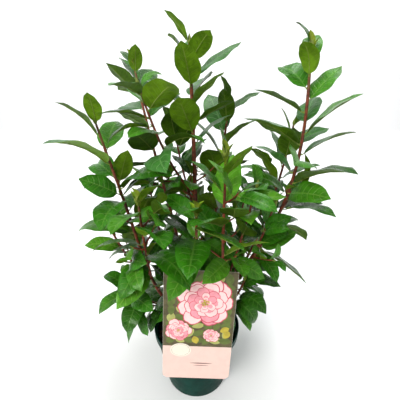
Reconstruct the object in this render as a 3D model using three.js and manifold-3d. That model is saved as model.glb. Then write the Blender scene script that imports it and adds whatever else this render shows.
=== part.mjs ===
// A young camellia in its nursery pot: a stool of upright stems, each ending in a mass of glossy leaves.
// Millimetres, +Z up. The origin is the middle of the pot's flat underside. -Y is the front, where the card
// hangs.
import * as THREE from "three";
import { mergeVertices } from "three/addons/utils/BufferGeometryUtils.js";
import Module from "manifold-3d";

const wasm = await Module();
wasm.setup();

// ---------------------------------------------------------------- driving dimensions

const GAP = 0.3; // between solids that touch
const UP = new THREE.Vector3(0, 0, 1);

const POT = {
  height: 132,
  rimRadius: 85, // outside of the rim band, at the top
  baseRadius: 62, // outside of the foot
  wall: 1.8,
  floor: 2.5,
  band: 16, // height of the rim band
  bandStep: 2, // how far the band stands out from the wall
  bandDraft: 1, // how much narrower the band is at its foot
  segments: 32,
};
const DRAIN = { count: 6, radius: 5.5, circle: 44 };
const SOIL = { crown: 118, edge: 114, flatRadius: 26 };
const CARD = {
  width: 117,
  height: 216,
  thick: 0.8,
  corner: 8, // radius of its lower corners
  lowEdge: 90, // height of its lower edge over the ground
  lean: 3.7, // degrees that it leans back
  turn: 2.5, // degrees that it is turned, clockwise from the front
  tongueWidth: 24,
  tongueDrop: 11, // how far the tongue reaches down inside the rim
};

const TRUNK = { foot: 5.2, tip: 2.2, power: 0.9, flare: 4.2, flareShare: 0.05, sides: 8, rings: 12 };
const BOUGH = { sides: 6, ringStep: 45, power: 0.5 };
const TWIG = { sides: 5, rings: 4, tip: 1.6 };
const BUD = { length: 13, radius: 2.4, sides: 4, rings: 2, sunk: 1 };

// How a leaf stands on its shoot and what shape it has. Of a pair, a draw adds up to the second to the first.
const LEAF = {
  turn: 137.5, // degrees from one leaf to the next round the stem
  tries: 6, // places drawn for a leaf before it is skipped
  turnScatter: 40, // most that a leaf departs from its place, in degrees, times the number of the try
  leanScatter: 14,
  rollScatter: 30,
  firstShare: 0.03, // of the leafy stretch, up to the first leaf
  crowding: 0.85, // under 1 the leaves stand closer towards the tip
  leanPower: 2.2, // how late the lean changes from its low value to its high one
  size: [0.8, 0.35], // share of the shoot's leaf length
  youngFrom: 0.7, // beyond this share of the leaves they grow smaller
  youngTaper: 1.5,
  width: [0.5, 0.12], // share of the length
  shoulder: 0.62, // under 1 the blade widens at once from its base
  taper: 0.8, // under 1 it narrows late towards its tip
  arch: [20, 60], // degrees that the blade curves over from base to tip
  archPower: 1.25,
  archStart: 0.25, // share of the arch by which the base rises
  fold: [8, 18], // degrees that each half stands up from the midrib
  stemWay: 0.45, // how far its face looks along the stem rather than up
  petiole: 0.1, // share of the length
  stations: 8, // steps along the blade
};

// Room that a leaf needs, in millimetres.
const CLEAR = { leaf: 8, own: 5, limb: 8, made: 8, ground: 4 };
const PROBE_STEP = 6; // between the points that stand for a limb

// Each shoot is a limb from its foot to its tip. Foot: a point, or [parent, share of the parent's length].
// Knee: the handle that bends it, as shares of its reach and its rise. Bend and sway: bows in its own plane
// and across it. Girth: radius at its foot. Bare: the share where its leaves begin and its bough ends.
// Lean: the leaves' angle to the stem, low down and at the tip. Arch scales how far they curve over.
// Its place in the list seeds the shoot's draws.
const SHOOTS = [
  { name: "middle", foot: [0, 0, 118], tip: [-10, 20, 630], knee: [0.6, 0.5], sway: -4, girth: 5.2,
    bare: 0.7, leaves: 12, leaf: 80, lean: [60, 40], arch: 0.5 },
  { name: "left", foot: [-3, 0, 121], tip: [-150, -10, 520], knee: [0.75, 0.3], bend: 8, girth: 3.3,
    bare: 0.5, leaves: 12, leaf: 100, lean: [80, 30], arch: 1 },
  { name: "left_back", foot: [-2, 3, 121], tip: [-110, 100, 610], knee: [0.6, 0.65], bend: -5, girth: 3,
    bare: 0.5, leaves: 12, leaf: 80, lean: [80, 30], arch: 0.5 },
  { name: "right", foot: [3, 0, 121], tip: [160, 0, 620], knee: [0.85, 0.2], bend: -18, girth: 3.6,
    bare: 0.45, leaves: 22, leaf: 90, lean: [75, 30], arch: 0.8 },
  { name: "front", foot: [2, -4, 119], tip: [40, -60, 480], knee: [1.6, 0.33], bend: 10, girth: 2.8,
    bare: 0.4, leaves: 10, leaf: 90, lean: [75, 20], arch: 0.5 },
  { name: "right_mid", foot: [3, 4, 121], tip: [60, 100, 550], knee: [0.5, 0.4], girth: 2.8,
    bare: 0.5, leaves: 12, leaf: 85, lean: [60, 30], arch: 0.5 },
  { name: "right_back", foot: [4, 4, 121], tip: [180, 90, 510], knee: [0.8, 0.3], girth: 3,
    bare: 0.5, leaves: 12, leaf: 90, lean: [60, 40], arch: 0.8 },
  { name: "centre_low", foot: [-2, -4, 119], tip: [0, -70, 400], knee: [0.5, 0.5], girth: 2.6,
    bare: 0.6, leaves: 8, leaf: 90, lean: [90, 60], arch: 0.5 },
  { name: "left_inner", foot: ["left", 0.35], tip: [-80, -80, 420], knee: [0.7, 0.3], girth: 2.1,
    bare: 0.4, leaves: 8, leaf: 85, lean: [75, 50], arch: 1 },
  { name: "left_twig", foot: ["left", 0.4], tip: [-140, -40, 370], knee: [0.6, 0.3], girth: 1.9,
    bare: 0.3, leaves: 5, leaf: 50, lean: [60, 20], arch: 1.5 },
  { name: "left_low", foot: ["left", 0.2], tip: [-120, -60, 260], knee: [0.7, 0.5], girth: 2.1,
    bare: 0.25, leaves: 10, leaf: 65, lean: [85, 30], arch: 1.5 },
  { name: "middle_left", foot: ["middle", 0.55], tip: [-80, -20, 570], knee: [0.6, 0.3], girth: 2,
    bare: 0.5, leaves: 10, leaf: 80, lean: [75, 60], arch: 1.2 },
  { name: "middle_back", foot: ["middle", 0.5], tip: [-40, 70, 510], knee: [0.6, 0.3], girth: 1.9,
    bare: 0.4, leaves: 8, leaf: 70, lean: [60, 40], arch: 0.8 },
  { name: "right_twig", foot: ["right", 0.3], tip: [120, -40, 400], knee: [0.6, 0.3], girth: 1.9,
    bare: 0.3, leaves: 5, leaf: 60, lean: [60, 20], arch: 1 },
  { name: "right_inner", foot: ["right", 0.2], tip: [90, -40, 430], knee: [0.5, 0.3], girth: 2.1,
    bare: 0.3, leaves: 8, leaf: 80, lean: [60, 20], arch: 1 },
  { name: "right_low", foot: ["right", 0.15], tip: [80, -50, 270], knee: [0.8, 0.4], girth: 2,
    bare: 0.4, leaves: 5, leaf: 55, lean: [65, 20], arch: 1.5 },
  { name: "back_left", foot: [-3, 5, 120], tip: [-100, 120, 380], knee: [0.6, 0.2], girth: 3,
    bare: 0.3, leaves: 12, leaf: 95, lean: [70, 20], arch: 0.5 },
  { name: "back_right", foot: [3, 5, 120], tip: [110, 140, 360], knee: [0.6, 0.2], girth: 3,
    bare: 0.35, leaves: 10, leaf: 95, lean: [60, 20], arch: 0.5 },
  { name: "back", foot: [0, 6, 120], tip: [-10, 180, 340], knee: [0.6, 0.2], girth: 2.8,
    bare: 0.35, leaves: 10, leaf: 95, lean: [60, 20], arch: 0.5 },
];
const SEED = 30; // added to each shoot's place in the list

const FINISH = {
  pot: { color: 0x1d4a42, roughness: 0.45, metalness: 0 },
  soil: { color: 0x2a1d14, roughness: 0.95, metalness: 0 },
  card: { color: 0xf2c9bd, roughness: 0.4, metalness: 0 },
  bark: { color: 0x5b3322, roughness: 0.8, metalness: 0 },
  leaf: { color: 0x2f6b2a, roughness: 0.3, metalness: 0 },
};

// ---------------------------------------------------------------- solids

/** Turns a closed geometry into a manifold-3d solid, with its shared vertices merged. */
function solid(geometry) {
  const bare = geometry.clone();
  bare.deleteAttribute("normal");
  bare.deleteAttribute("uv");
  const merged = mergeVertices(bare, 1e-4);
  const corners = merged.index.array;
  const triangles = [];
  for (let i = 0; i < corners.length; i += 3) {
    const [a, b, c] = corners.slice(i, i + 3);
    if (a !== b && b !== c && c !== a) triangles.push(a, b, c);
  }
  return new wasm.Manifold(
    new wasm.Mesh({
      numProp: 3,
      vertProperties: merged.attributes.position.array,
      triVerts: new Uint32Array(triangles),
    }),
  );
}

/** The largest body of a solid: loose scraps go, and a sealed hollow is filled. */
function mainBody(shape) {
  return shape.decompose().reduce((best, body) => (body.volume() > best.volume() ? body : best));
}

/** A named mesh of a solid. */
function meshOf(name, shape, finish) {
  const made = shape.getMesh();
  const geometry = new THREE.BufferGeometry();
  geometry.setAttribute("position", new THREE.BufferAttribute(made.vertProperties, 3));
  geometry.setIndex(new THREE.BufferAttribute(made.triVerts, 1));
  geometry.computeVertexNormals();
  const mesh = new THREE.Mesh(geometry, new THREE.MeshStandardMaterial(finish));
  mesh.name = name;
  return mesh;
}

/** A capped tube. Its points go where place(ring, across, over) says, across and over on a unit circle. */
function sweep(sides, rings, place) {
  const tube = new THREE.CylinderGeometry(1, 1, 1, sides, rings);
  const points = tube.attributes.position;
  for (let i = 0; i < points.count; i++) {
    const ring = Math.round((points.getY(i) + 0.5) * rings);
    const at = place(ring, points.getX(i), points.getZ(i));
    points.setXYZ(i, at.x, at.y, at.z);
  }
  return solid(tube);
}

/** A solid of revolution about Z, from a profile of [radius, height] that starts and ends on the axis. */
function turned(profile, segments) {
  const points = profile.map(([r, z]) => new THREE.Vector2(r, z));
  return solid(new THREE.LatheGeometry(points, segments).rotateX(Math.PI / 2));
}

// ---------------------------------------------------------------- pot, soil and card

/** Outside radius of the pot's wall at a height, below its rim band. */
function wallRadius(z) {
  const top = POT.rimRadius - POT.bandStep;
  return POT.baseRadius + ((top - POT.baseRadius) * z) / POT.height;
}

/** The thin-walled pot, with its stepped rim band and the drain holes in its floor. */
function pot() {
  const bandFoot = POT.height - POT.band;
  let shape = turned(
    [
      [0, 0],
      [POT.baseRadius - 1.5, 0],
      [wallRadius(1.5), 1.5],
      [wallRadius(bandFoot), bandFoot],
      [POT.rimRadius - POT.bandDraft, bandFoot],
      [POT.rimRadius, POT.height],
      [POT.rimRadius - POT.wall, POT.height],
      [POT.rimRadius - POT.wall - POT.bandDraft, bandFoot + POT.wall],
      [wallRadius(bandFoot) - POT.wall, bandFoot + POT.wall / 2],
      [wallRadius(POT.floor) - POT.wall, POT.floor],
      [0, POT.floor],
    ],
    POT.segments,
  );
  for (let i = 0; i < DRAIN.count; i++) {
    const angle = (2 * Math.PI * (i + 0.5)) / DRAIN.count;
    const hole = new THREE.CylinderGeometry(DRAIN.radius, DRAIN.radius, 4 * POT.floor, 10)
      .rotateX(Math.PI / 2)
      .translate(DRAIN.circle * Math.cos(angle), DRAIN.circle * Math.sin(angle), POT.floor / 2);
    shape = shape.subtract(solid(hole));
  }
  return shape;
}

/** The compost that fills the pot, gently domed, with a flat crown under the stems. */
function soil() {
  const inside = (z) => wallRadius(z) - POT.wall - GAP - 0.4;
  const foot = POT.floor + GAP;
  return turned(
    [
      [0, foot],
      [inside(foot), foot],
      [inside(SOIL.edge - 3) - 0.5, SOIL.edge - 3],
      [inside(SOIL.edge) - 1, SOIL.edge],
      [(inside(SOIL.edge) + SOIL.flatRadius) / 2, (SOIL.edge + SOIL.crown) / 2 + 0.8],
      [SOIL.flatRadius, SOIL.crown],
      [0, SOIL.crown],
    ],
    POT.segments,
  );
}

/** The card's plane: where its middle leans on the rim, and its directions right, up and out of its face. */
const cardFrame = (() => {
  const tilt = THREE.MathUtils.degToRad(CARD.lean);
  const turn = THREE.MathUtils.degToRad(CARD.turn);
  const right0 = new THREE.Vector3(1, 0, 0);
  const up0 = new THREE.Vector3(0, Math.sin(tilt), Math.cos(tilt));
  const out = new THREE.Vector3(0, -Math.cos(tilt), Math.sin(tilt));
  const right = right0.clone().multiplyScalar(Math.cos(turn)).addScaledVector(up0, -Math.sin(turn));
  const up = right0.clone().multiplyScalar(Math.sin(turn)).addScaledVector(up0, Math.cos(turn));
  const rest = new THREE.Vector3(0, -POT.rimRadius - GAP / Math.cos(tilt), POT.height);
  return { tilt, right, up, out, rest };
})();
const cardFoot = -(POT.height - CARD.lowEdge); // its lower edge, up from where it leans on the rim

/** The picture card, hooked over the rim by a tongue behind it. */
function card() {
  const half = CARD.width / 2;
  const top = cardFoot + CARD.height;
  const r = CARD.corner;
  const outline = new THREE.Shape()
    .moveTo(-half, top)
    .lineTo(-half, cardFoot + r)
    .absarc(-half + r, cardFoot + r, r, Math.PI, 1.5 * Math.PI)
    .absarc(half - r, cardFoot + r, r, -Math.PI / 2, 0)
    .lineTo(half, top);
  const sheet = new THREE.ExtrudeGeometry(outline, {
    depth: CARD.thick,
    bevelEnabled: false,
    curveSegments: 5,
  });
  const { right, up, out, rest } = cardFrame;
  sheet.applyMatrix4(new THREE.Matrix4().makeBasis(right, up, out).setPosition(rest));
  const t = CARD.thick;
  const over = POT.height + GAP;
  const inside = POT.rimRadius - POT.wall - POT.bandDraft;
  const inner = GAP - Math.sqrt(inside ** 2 - (CARD.tongueWidth / 2) ** 2); // clear of the rim's curve
  const hook = new THREE.Shape()
    .moveTo(rest.y - t / 2, over)
    .lineTo(inner, over)
    .lineTo(inner, POT.height - CARD.tongueDrop)
    .lineTo(inner + t, POT.height - CARD.tongueDrop)
    .lineTo(inner + t, over + t)
    .lineTo(rest.y - t / 2, over + t);
  const tongue = new THREE.ExtrudeGeometry(hook, { depth: CARD.tongueWidth, bevelEnabled: false });
  tongue.translate(0, 0, -CARD.tongueWidth / 2);
  const [xWay, yWay] = [new THREE.Vector3(1, 0, 0), new THREE.Vector3(0, 1, 0)];
  tongue.applyMatrix4(new THREE.Matrix4().makeBasis(yWay, UP, xWay));
  return solid(sheet).add(solid(tongue));
}

// ---------------------------------------------------------------- the growth rule

/** A seeded run of even draws between 0 and 1. */
function draws(seed) {
  let state = seed * 7919 + 12345;
  const next = () => {
    state = (state * 48271) % 2147483647;
    return state / 2147483647;
  };
  for (let i = 0; i < 3; i++) next();
  return next;
}

const grown = new Map();

/** Works out where a shoot's foot lies and how it is aimed. */
function grow(shoot, place) {
  const [parent, along] = shoot.foot;
  const onParent = typeof parent === "string";
  const foot = onParent ? limbPoint(grown.get(parent), along) : new THREE.Vector3(...shoot.foot);
  const aim = new THREE.Vector3(...shoot.tip).sub(foot);
  const reach = Math.hypot(aim.x, aim.y);
  const heading = new THREE.Vector3(aim.x / reach, aim.y / reach, 0);
  const across = new THREE.Vector3(-heading.y, heading.x, 0);
  const seed = SEED + place + 1;
  const limb = { bend: 0, sway: 0, ...shoot, seed, foot, reach, rise: aim.z, heading, across, length: 0 };
  const steps = 40;
  for (let i = 0; i < steps; i++)
    limb.length += limbPoint(limb, i / steps).distanceTo(limbPoint(limb, (i + 1) / steps));
  grown.set(shoot.name, limb);
}

/** The point at a share of a limb's way from foot to tip. */
function limbPoint(limb, share) {
  const [kneeOut, kneeUp] = limb.knee;
  const early = 2 * share * (1 - share);
  const late = share * share;
  const out = limb.reach * (early * kneeOut + late) + limb.bend * Math.sin(2 * Math.PI * share);
  const point = limb.foot.clone().addScaledVector(limb.heading, out);
  point.addScaledVector(limb.across, limb.sway * Math.sin(Math.PI * share));
  return point.addScaledVector(UP, limb.rise * (early * kneeUp + late));
}

/** The limb's own directions at a share of its way: along it, and two square to it. */
function limbFrame(limb, share) {
  const before = limbPoint(limb, Math.max(0, share - 0.01));
  const along = limbPoint(limb, Math.min(1, share + 0.01)).sub(before).normalize();
  const guide = Math.abs(along.y) < 0.9 ? new THREE.Vector3(0, 1, 0) : new THREE.Vector3(1, 0, 0);
  const side = along.clone().cross(guide).normalize();
  return { along, side, front: along.clone().cross(side) };
}

/** A leaf of a limb, counted from the lowest, as the rule draws it at one of its tries. */
function leafOf(limb, count, attempt) {
  const rad = THREE.MathUtils.degToRad;
  const ranged = ([least, more], share) => least + more * share;
  const draw = draws((limb.seed * 100 + count) * 10 + attempt);
  const drawn = Array.from({ length: 7 }, draw);
  const [turnDraw, leanDraw, sizeDraw, archDraw, rollDraw, foldDraw, widthDraw] = drawn;
  const order = count / (limb.leaves - 1);
  const up = (LEAF.firstShare + (0.99 - LEAF.firstShare) * order) ** LEAF.crowding;
  const share = limb.bare + (1 - limb.bare) * up;
  const { along, side, front } = limbFrame(limb, share);

  const stray = (2 * turnDraw - 1) * LEAF.turnScatter * (attempt + 1);
  const turn = rad((limb.seed + count) * LEAF.turn + stray);
  const meanLean = THREE.MathUtils.lerp(...limb.lean, order ** LEAF.leanPower);
  const lean = rad(meanLean + (2 * leanDraw - 1) * LEAF.leanScatter);
  const aim = side.multiplyScalar(Math.cos(turn)).addScaledVector(front, Math.sin(turn));
  aim.multiplyScalar(Math.sin(lean)).addScaledVector(along, Math.cos(lean)).normalize();

  const face = along.clone().multiplyScalar(LEAF.stemWay).addScaledVector(UP, 1 - LEAF.stemWay);
  face.addScaledVector(aim, -face.dot(aim));
  if (face.lengthSq() < 0.02) face.copy(along).addScaledVector(aim, -along.dot(aim));
  face.normalize().applyAxisAngle(aim, rad((2 * rollDraw - 1) * LEAF.rollScatter));

  const young = Math.max(0, order - LEAF.youngFrom) * LEAF.youngTaper;
  const length = limb.leaf * ranged(LEAF.size, sizeDraw) * (1 - young);
  return {
    root: limbPoint(limb, share),
    aim,
    face,
    across: aim.clone().cross(face),
    length,
    width: length * ranged(LEAF.width, widthDraw),
    arch: rad(ranged(LEAF.arch, archDraw) * limb.arch),
    fold: rad(ranged(LEAF.fold, foldDraw)),
  };
}

/** Half the blade's width at a share of its length, as a share of the greatest half width. */
function bladeShape(share) {
  const { shoulder, taper } = LEAF;
  const widest = shoulder / (shoulder + taper);
  return (share ** shoulder * (1 - share) ** taper) / (widest ** shoulder * (1 - widest) ** taper);
}

/** The blade's stations: the midrib's point, the face's direction there, and the half width. */
function stations(leaf) {
  const made = [];
  const at = leaf.root.clone().addScaledVector(leaf.aim, LEAF.petiole * leaf.length);
  let before = null;
  for (let i = 0; i <= LEAF.stations; i++) {
    const share = i / LEAF.stations;
    const angle = leaf.arch * (share ** LEAF.archPower - LEAF.archStart);
    const way = leaf.aim.clone().multiplyScalar(Math.cos(angle)).addScaledVector(leaf.face, -Math.sin(angle));
    const face = leaf.aim.clone().multiplyScalar(Math.sin(angle)).addScaledVector(leaf.face, Math.cos(angle));
    if (before) at.addScaledVector(before.add(way), leaf.length / LEAF.stations / 2);
    before = way.clone();
    made.push({ at: at.clone(), face, half: (bladeShape(share) * leaf.width) / 2 });
  }
  return made;
}

/** The point of a blade at a station, at a share of its half width to either side. */
function bladePoint(leaf, station, share) {
  const off = station.half * share;
  return station.at
    .clone()
    .addScaledVector(leaf.across, Math.cos(leaf.fold) * off)
    .addScaledVector(station.face, Math.sin(leaf.fold) * Math.abs(off));
}

/** The points of a blade that stand for it when its room is tested, from a quarter of its length on. */
function bladeProbes(leaf) {
  const points = [];
  stations(leaf).forEach((station, i) => {
    if (i < 2) return;
    const shares = i < LEAF.stations ? [-1, -0.5, 0, 0.5, 1] : [0];
    points.push(...shares.map((share) => bladePoint(leaf, station, share)));
  });
  return points;
}

/** A leaf with the points that stand for it. Its stalk's own few may lie near the stem that bears it. */
function placed(leaf) {
  const blade = bladeProbes(leaf);
  const stalk = [leaf.root, ...stations(leaf).slice(0, 2).map((station) => station.at)];
  return { leaf, blade, whole: [...stalk, ...blade], middle: blade[Math.floor(blade.length / 2)] };
}

/** True where a point keeps off the ground, the pot and the card. */
function clearOfMade(p) {
  if (p.z < CLEAR.ground) return false;
  if (Math.hypot(p.x, p.y) < POT.rimRadius + CLEAR.made && p.z < POT.height + CLEAR.made) return false;
  const { right, up, out, rest } = cardFrame;
  const away = p.clone().sub(rest);
  const beside = Math.abs(away.dot(right)) > CARD.width / 2 + CLEAR.made;
  const height = away.dot(up);
  const beyond = height < cardFoot - CLEAR.made || height > cardFoot + CARD.height + CLEAR.made;
  return beside || beyond || Math.abs(away.dot(out)) > CLEAR.made;
}

/** True where two sets of points stay a distance apart. */
function apart(some, others, distance) {
  const square = distance * distance;
  return some.every((p) => others.every((q) => p.distanceToSquared(q) >= square));
}

/** The share of a limb's way at which its bud ends, a little over 1. */
const budEnd = (limb) => 1 + BUD.length / limb.length;

/** Points along a limb, a few millimetres apart. */
function limbProbes(limb, from, to) {
  const count = Math.ceil((limb.length * (to - from)) / PROBE_STEP) + 1;
  return Array.from({ length: count + 1 }, (_, i) => limbPoint(limb, from + ((to - from) * i) / count));
}

/** True where two leaves are so near that their points need comparing. */
function near(one, other) {
  const reach = (1.3 * (one.leaf.length + other.leaf.length)) / 2 + CLEAR.leaf;
  return one.middle.distanceTo(other.middle) < reach;
}

/** The leaves that find room, by limb. One that would touch a limb, leaf, pot or card is drawn again. */
function settleLeaves() {
  const kept = new Map();
  const taken = [];
  const limbs = [...grown.values()];
  for (const limb of limbs) {
    const stem = limbProbes(limb, 0.04, limb.bare - 0.01);
    const rest = limbs.filter((other) => other !== limb);
    const others = rest.map((other) => limbProbes(other, 0.04, budEnd(other)));
    const own = [];
    const fits = (here) =>
      here.whole.every(clearOfMade) &&
      apart(here.blade, stem, CLEAR.limb) &&
      others.every((line) => apart(here.whole, line, CLEAR.limb)) &&
      own.every((there) => !near(here, there) || apart(here.blade, there.blade, CLEAR.own)) &&
      taken.every((there) => !near(here, there) || apart(here.whole, there.whole, CLEAR.leaf));
    for (let count = 0; count < limb.leaves; count++) {
      let found = null;
      for (let attempt = 0; attempt < LEAF.tries && !found; attempt++) {
        const here = placed(leafOf(limb, count, attempt));
        if (fits(here)) found = here;
      }
      if (found) own.push(found);
    }
    taken.push(...own);
    kept.set(limb.name, own.map((there) => there.leaf));
  }
  return kept;
}

// ---------------------------------------------------------------- limbs and masses

const isTrunk = (limb) => limb.name === "middle";

/** Radius of a limb at a share of its way. */
function girth(limb, share) {
  if (isTrunk(limb)) {
    const flare = TRUNK.flare * Math.exp(-share / TRUNK.flareShare);
    return TRUNK.tip + (TRUNK.foot - TRUNK.tip) * (1 - share) ** TRUNK.power + flare;
  }
  return TWIG.tip + (limb.girth - TWIG.tip) * (1 - share) ** BOUGH.power;
}

/** A tapering tube along a stretch of a limb, made wider by a margin where one is given. */
function limbTube(limb, from, to, sides, rings, margin = 0) {
  return sweep(sides, rings, (ring, across, over) => {
    const share = from + ((to - from) * ring) / rings;
    const { side, front } = limbFrame(limb, share);
    const radius = girth(limb, share) + margin;
    const centre = limbPoint(limb, share);
    return centre.addScaledVector(side, across * radius).addScaledVector(front, -over * radius);
  });
}

/** The bare stretch of a limb: the trunk's or the bough's own tube. */
function bareTube(limb, margin = 0) {
  if (isTrunk(limb)) return limbTube(limb, -0.01, limb.bare, TRUNK.sides, TRUNK.rings, margin);
  const rings = Math.ceil((limb.length * limb.bare) / BOUGH.ringStep) + 1;
  return limbTube(limb, 0, limb.bare, BOUGH.sides, rings, margin);
}

/** The pointed bud on a limb's tip. */
function bud(limb) {
  const { along, side, front } = limbFrame(limb, 1);
  const radii = [TWIG.tip * 0.8, BUD.radius, 0];
  return sweep(BUD.sides, BUD.rings, (ring, across, over) =>
    limbPoint(limb, 1)
      .addScaledVector(along, (BUD.length * ring) / BUD.rings - BUD.sunk)
      .addScaledVector(side, across * radii[ring])
      .addScaledVector(front, -over * radii[ring]),
  );
}

/** A leaf as a thin lens with a folded midrib, its stalk sunk into the stem. */
function leafSolid(leaf) {
  const line = stations(leaf);
  const stalk = 1.2; // half the stalk's thickness
  const sections = [
    { at: leaf.root, face: leaf.face, half: stalk, deep: stalk, flat: true },
    { at: line[0].at, face: line[0].face, half: stalk, deep: stalk, flat: true },
    { ...line[3], deep: leaf.length / 140 },
    { ...line[6], deep: leaf.length / 180 },
    { ...line[LEAF.stations], half: 0, deep: 0 },
  ];
  return sweep(4, sections.length - 1, (ring, across, over) => {
    const section = sections[ring];
    const point = bladePoint(section.flat ? { ...leaf, fold: 0 } : leaf, section, across);
    return point.addScaledVector(section.face, over * section.deep);
  });
}

/** All that lies under the compost's crown, which nothing that grows may enter. */
const underground = solid(new THREE.BoxGeometry(400, 400, 60).translate(0, 0, SOIL.crown + GAP - 30));

/** The trunk or a bough, from the compost or its parent's bark to its leaves, cut clear of earlier limbs. */
function bareLimb(limb, earlier) {
  const above = bareTube(limb).subtract(underground);
  return mainBody(earlier.reduce((shape, other) => shape.subtract(other), above));
}

/** A mass: the leafy end of a limb, its bud and its leaves, fused. */
function mass(limb, leaves) {
  const from = limb.bare + GAP / limb.length;
  const parts = [limbTube(limb, from, 1, TWIG.sides, TWIG.rings), bud(limb), ...leaves.map(leafSolid)];
  return mainBody(parts.reduce((whole, part) => whole.add(part)));
}

// ---------------------------------------------------------------- assembly

/** Builds every sub-part and hangs it in its group. */
function build() {
  const camellia = new THREE.Group();
  const container = new THREE.Group();
  const limbs = new THREE.Group();
  const foliage = new THREE.Group();
  camellia.add(container, limbs, foliage);
  container.add(
    meshOf("pot", pot(), FINISH.pot),
    meshOf("compost", soil(), FINISH.soil),
    meshOf("picture_card", card(), FINISH.card),
  );

  SHOOTS.forEach(grow);
  const leaves = settleLeaves();
  const widened = [];
  for (const limb of grown.values()) {
    const name = isTrunk(limb) ? "trunk" : "bough_" + limb.name;
    limbs.add(meshOf(name, bareLimb(limb, widened), FINISH.bark));
    foliage.add(meshOf("mass_" + limb.name, mass(limb, leaves.get(limb.name)), FINISH.leaf));
    widened.push(bareTube(limb, GAP));
  }
  return camellia;
}

export default build();
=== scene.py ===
"""A young camellia shrub in its nursery pot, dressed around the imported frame.

Lengths in the dataclasses are millimetres; every mesh is made in metres. +Z is up, -Y is the front.
"""

import logging
import math
from collections.abc import Callable, Iterator, Sequence
from dataclasses import dataclass, field
from enum import Enum

import bpy
import numpy as np
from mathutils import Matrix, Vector


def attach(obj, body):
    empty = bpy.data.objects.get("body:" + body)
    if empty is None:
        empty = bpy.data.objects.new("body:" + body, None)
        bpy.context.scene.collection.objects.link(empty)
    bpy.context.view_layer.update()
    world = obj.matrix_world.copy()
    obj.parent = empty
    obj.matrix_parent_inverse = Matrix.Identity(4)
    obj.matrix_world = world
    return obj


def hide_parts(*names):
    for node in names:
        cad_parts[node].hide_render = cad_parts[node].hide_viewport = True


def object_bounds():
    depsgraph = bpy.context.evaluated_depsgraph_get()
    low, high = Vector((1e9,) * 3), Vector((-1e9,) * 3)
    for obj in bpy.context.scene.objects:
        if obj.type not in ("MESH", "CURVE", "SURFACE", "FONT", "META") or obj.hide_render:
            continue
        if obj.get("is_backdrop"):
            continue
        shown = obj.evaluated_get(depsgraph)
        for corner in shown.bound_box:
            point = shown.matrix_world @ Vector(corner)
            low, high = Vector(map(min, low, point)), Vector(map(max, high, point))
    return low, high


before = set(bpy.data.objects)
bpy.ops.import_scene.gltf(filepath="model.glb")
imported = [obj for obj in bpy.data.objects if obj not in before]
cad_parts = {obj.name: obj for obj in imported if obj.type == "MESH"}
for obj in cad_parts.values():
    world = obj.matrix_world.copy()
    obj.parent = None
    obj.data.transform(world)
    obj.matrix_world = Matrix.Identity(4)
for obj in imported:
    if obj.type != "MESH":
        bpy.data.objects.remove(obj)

CAD_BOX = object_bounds()
MM = 0.001
log = logging.getLogger("camellia")

Vec = np.ndarray
Colour = tuple[float, float, float, float]


# ------------------------------------------------------------------------------------------ small helpers


def srgb(text: str) -> Colour:
    """Turns a colour as people write it into the linear values that shaders use.

    Args:
        text: Six hexadecimal digits after a hash sign.

    Returns:
        Linear red, green, blue and an alpha of one.
    """
    channels = [int(text[i:i + 2], 16) / 255 for i in (1, 3, 5)]
    linear = [c / 12.92 if c <= 0.04045 else ((c + 0.055) / 1.055) ** 2.4 for c in channels]
    return (linear[0], linear[1], linear[2], 1.0)


def unit(v: Vec) -> Vec:
    """The direction of a vector."""
    return v / math.sqrt(float(v @ v))


def cross(a: Vec, b: Vec) -> Vec:
    """The cross product of two vectors of three numbers."""
    return np.array([a[1] * b[2] - a[2] * b[1], a[2] * b[0] - a[0] * b[2], a[0] * b[1] - a[1] * b[0]])


def turned_about(v: Vec, axis: Vec, angle: float) -> Vec:
    """A vector turned about a unit axis by an angle in radians."""
    along = axis * float(axis @ v)
    return v * math.cos(angle) + cross(axis, v) * math.sin(angle) + along * (1 - math.cos(angle))


def deselect_all() -> None:
    """Leaves object mode with nothing selected."""
    if bpy.context.object and bpy.context.object.mode != "OBJECT":
        bpy.ops.object.mode_set(mode="OBJECT")
    bpy.ops.object.select_all(action="DESELECT")


def make_active(piece: bpy.types.Object) -> None:
    """Selects one object alone and makes it the active one."""
    deselect_all()
    piece.select_set(True)
    bpy.context.view_layer.objects.active = piece


def apply_modifiers(piece: bpy.types.Object) -> None:
    """Applies each of an object's modifiers in turn."""
    make_active(piece)
    for name in [modifier.name for modifier in piece.modifiers]:
        bpy.ops.object.modifier_apply(modifier=name)


def settle(piece: bpy.types.Object) -> None:
    """Puts an object's place, turn and size into its mesh, so that it sits at the origin."""
    make_active(piece)
    bpy.ops.object.transform_apply(location=True, rotation=True, scale=True)


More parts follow.
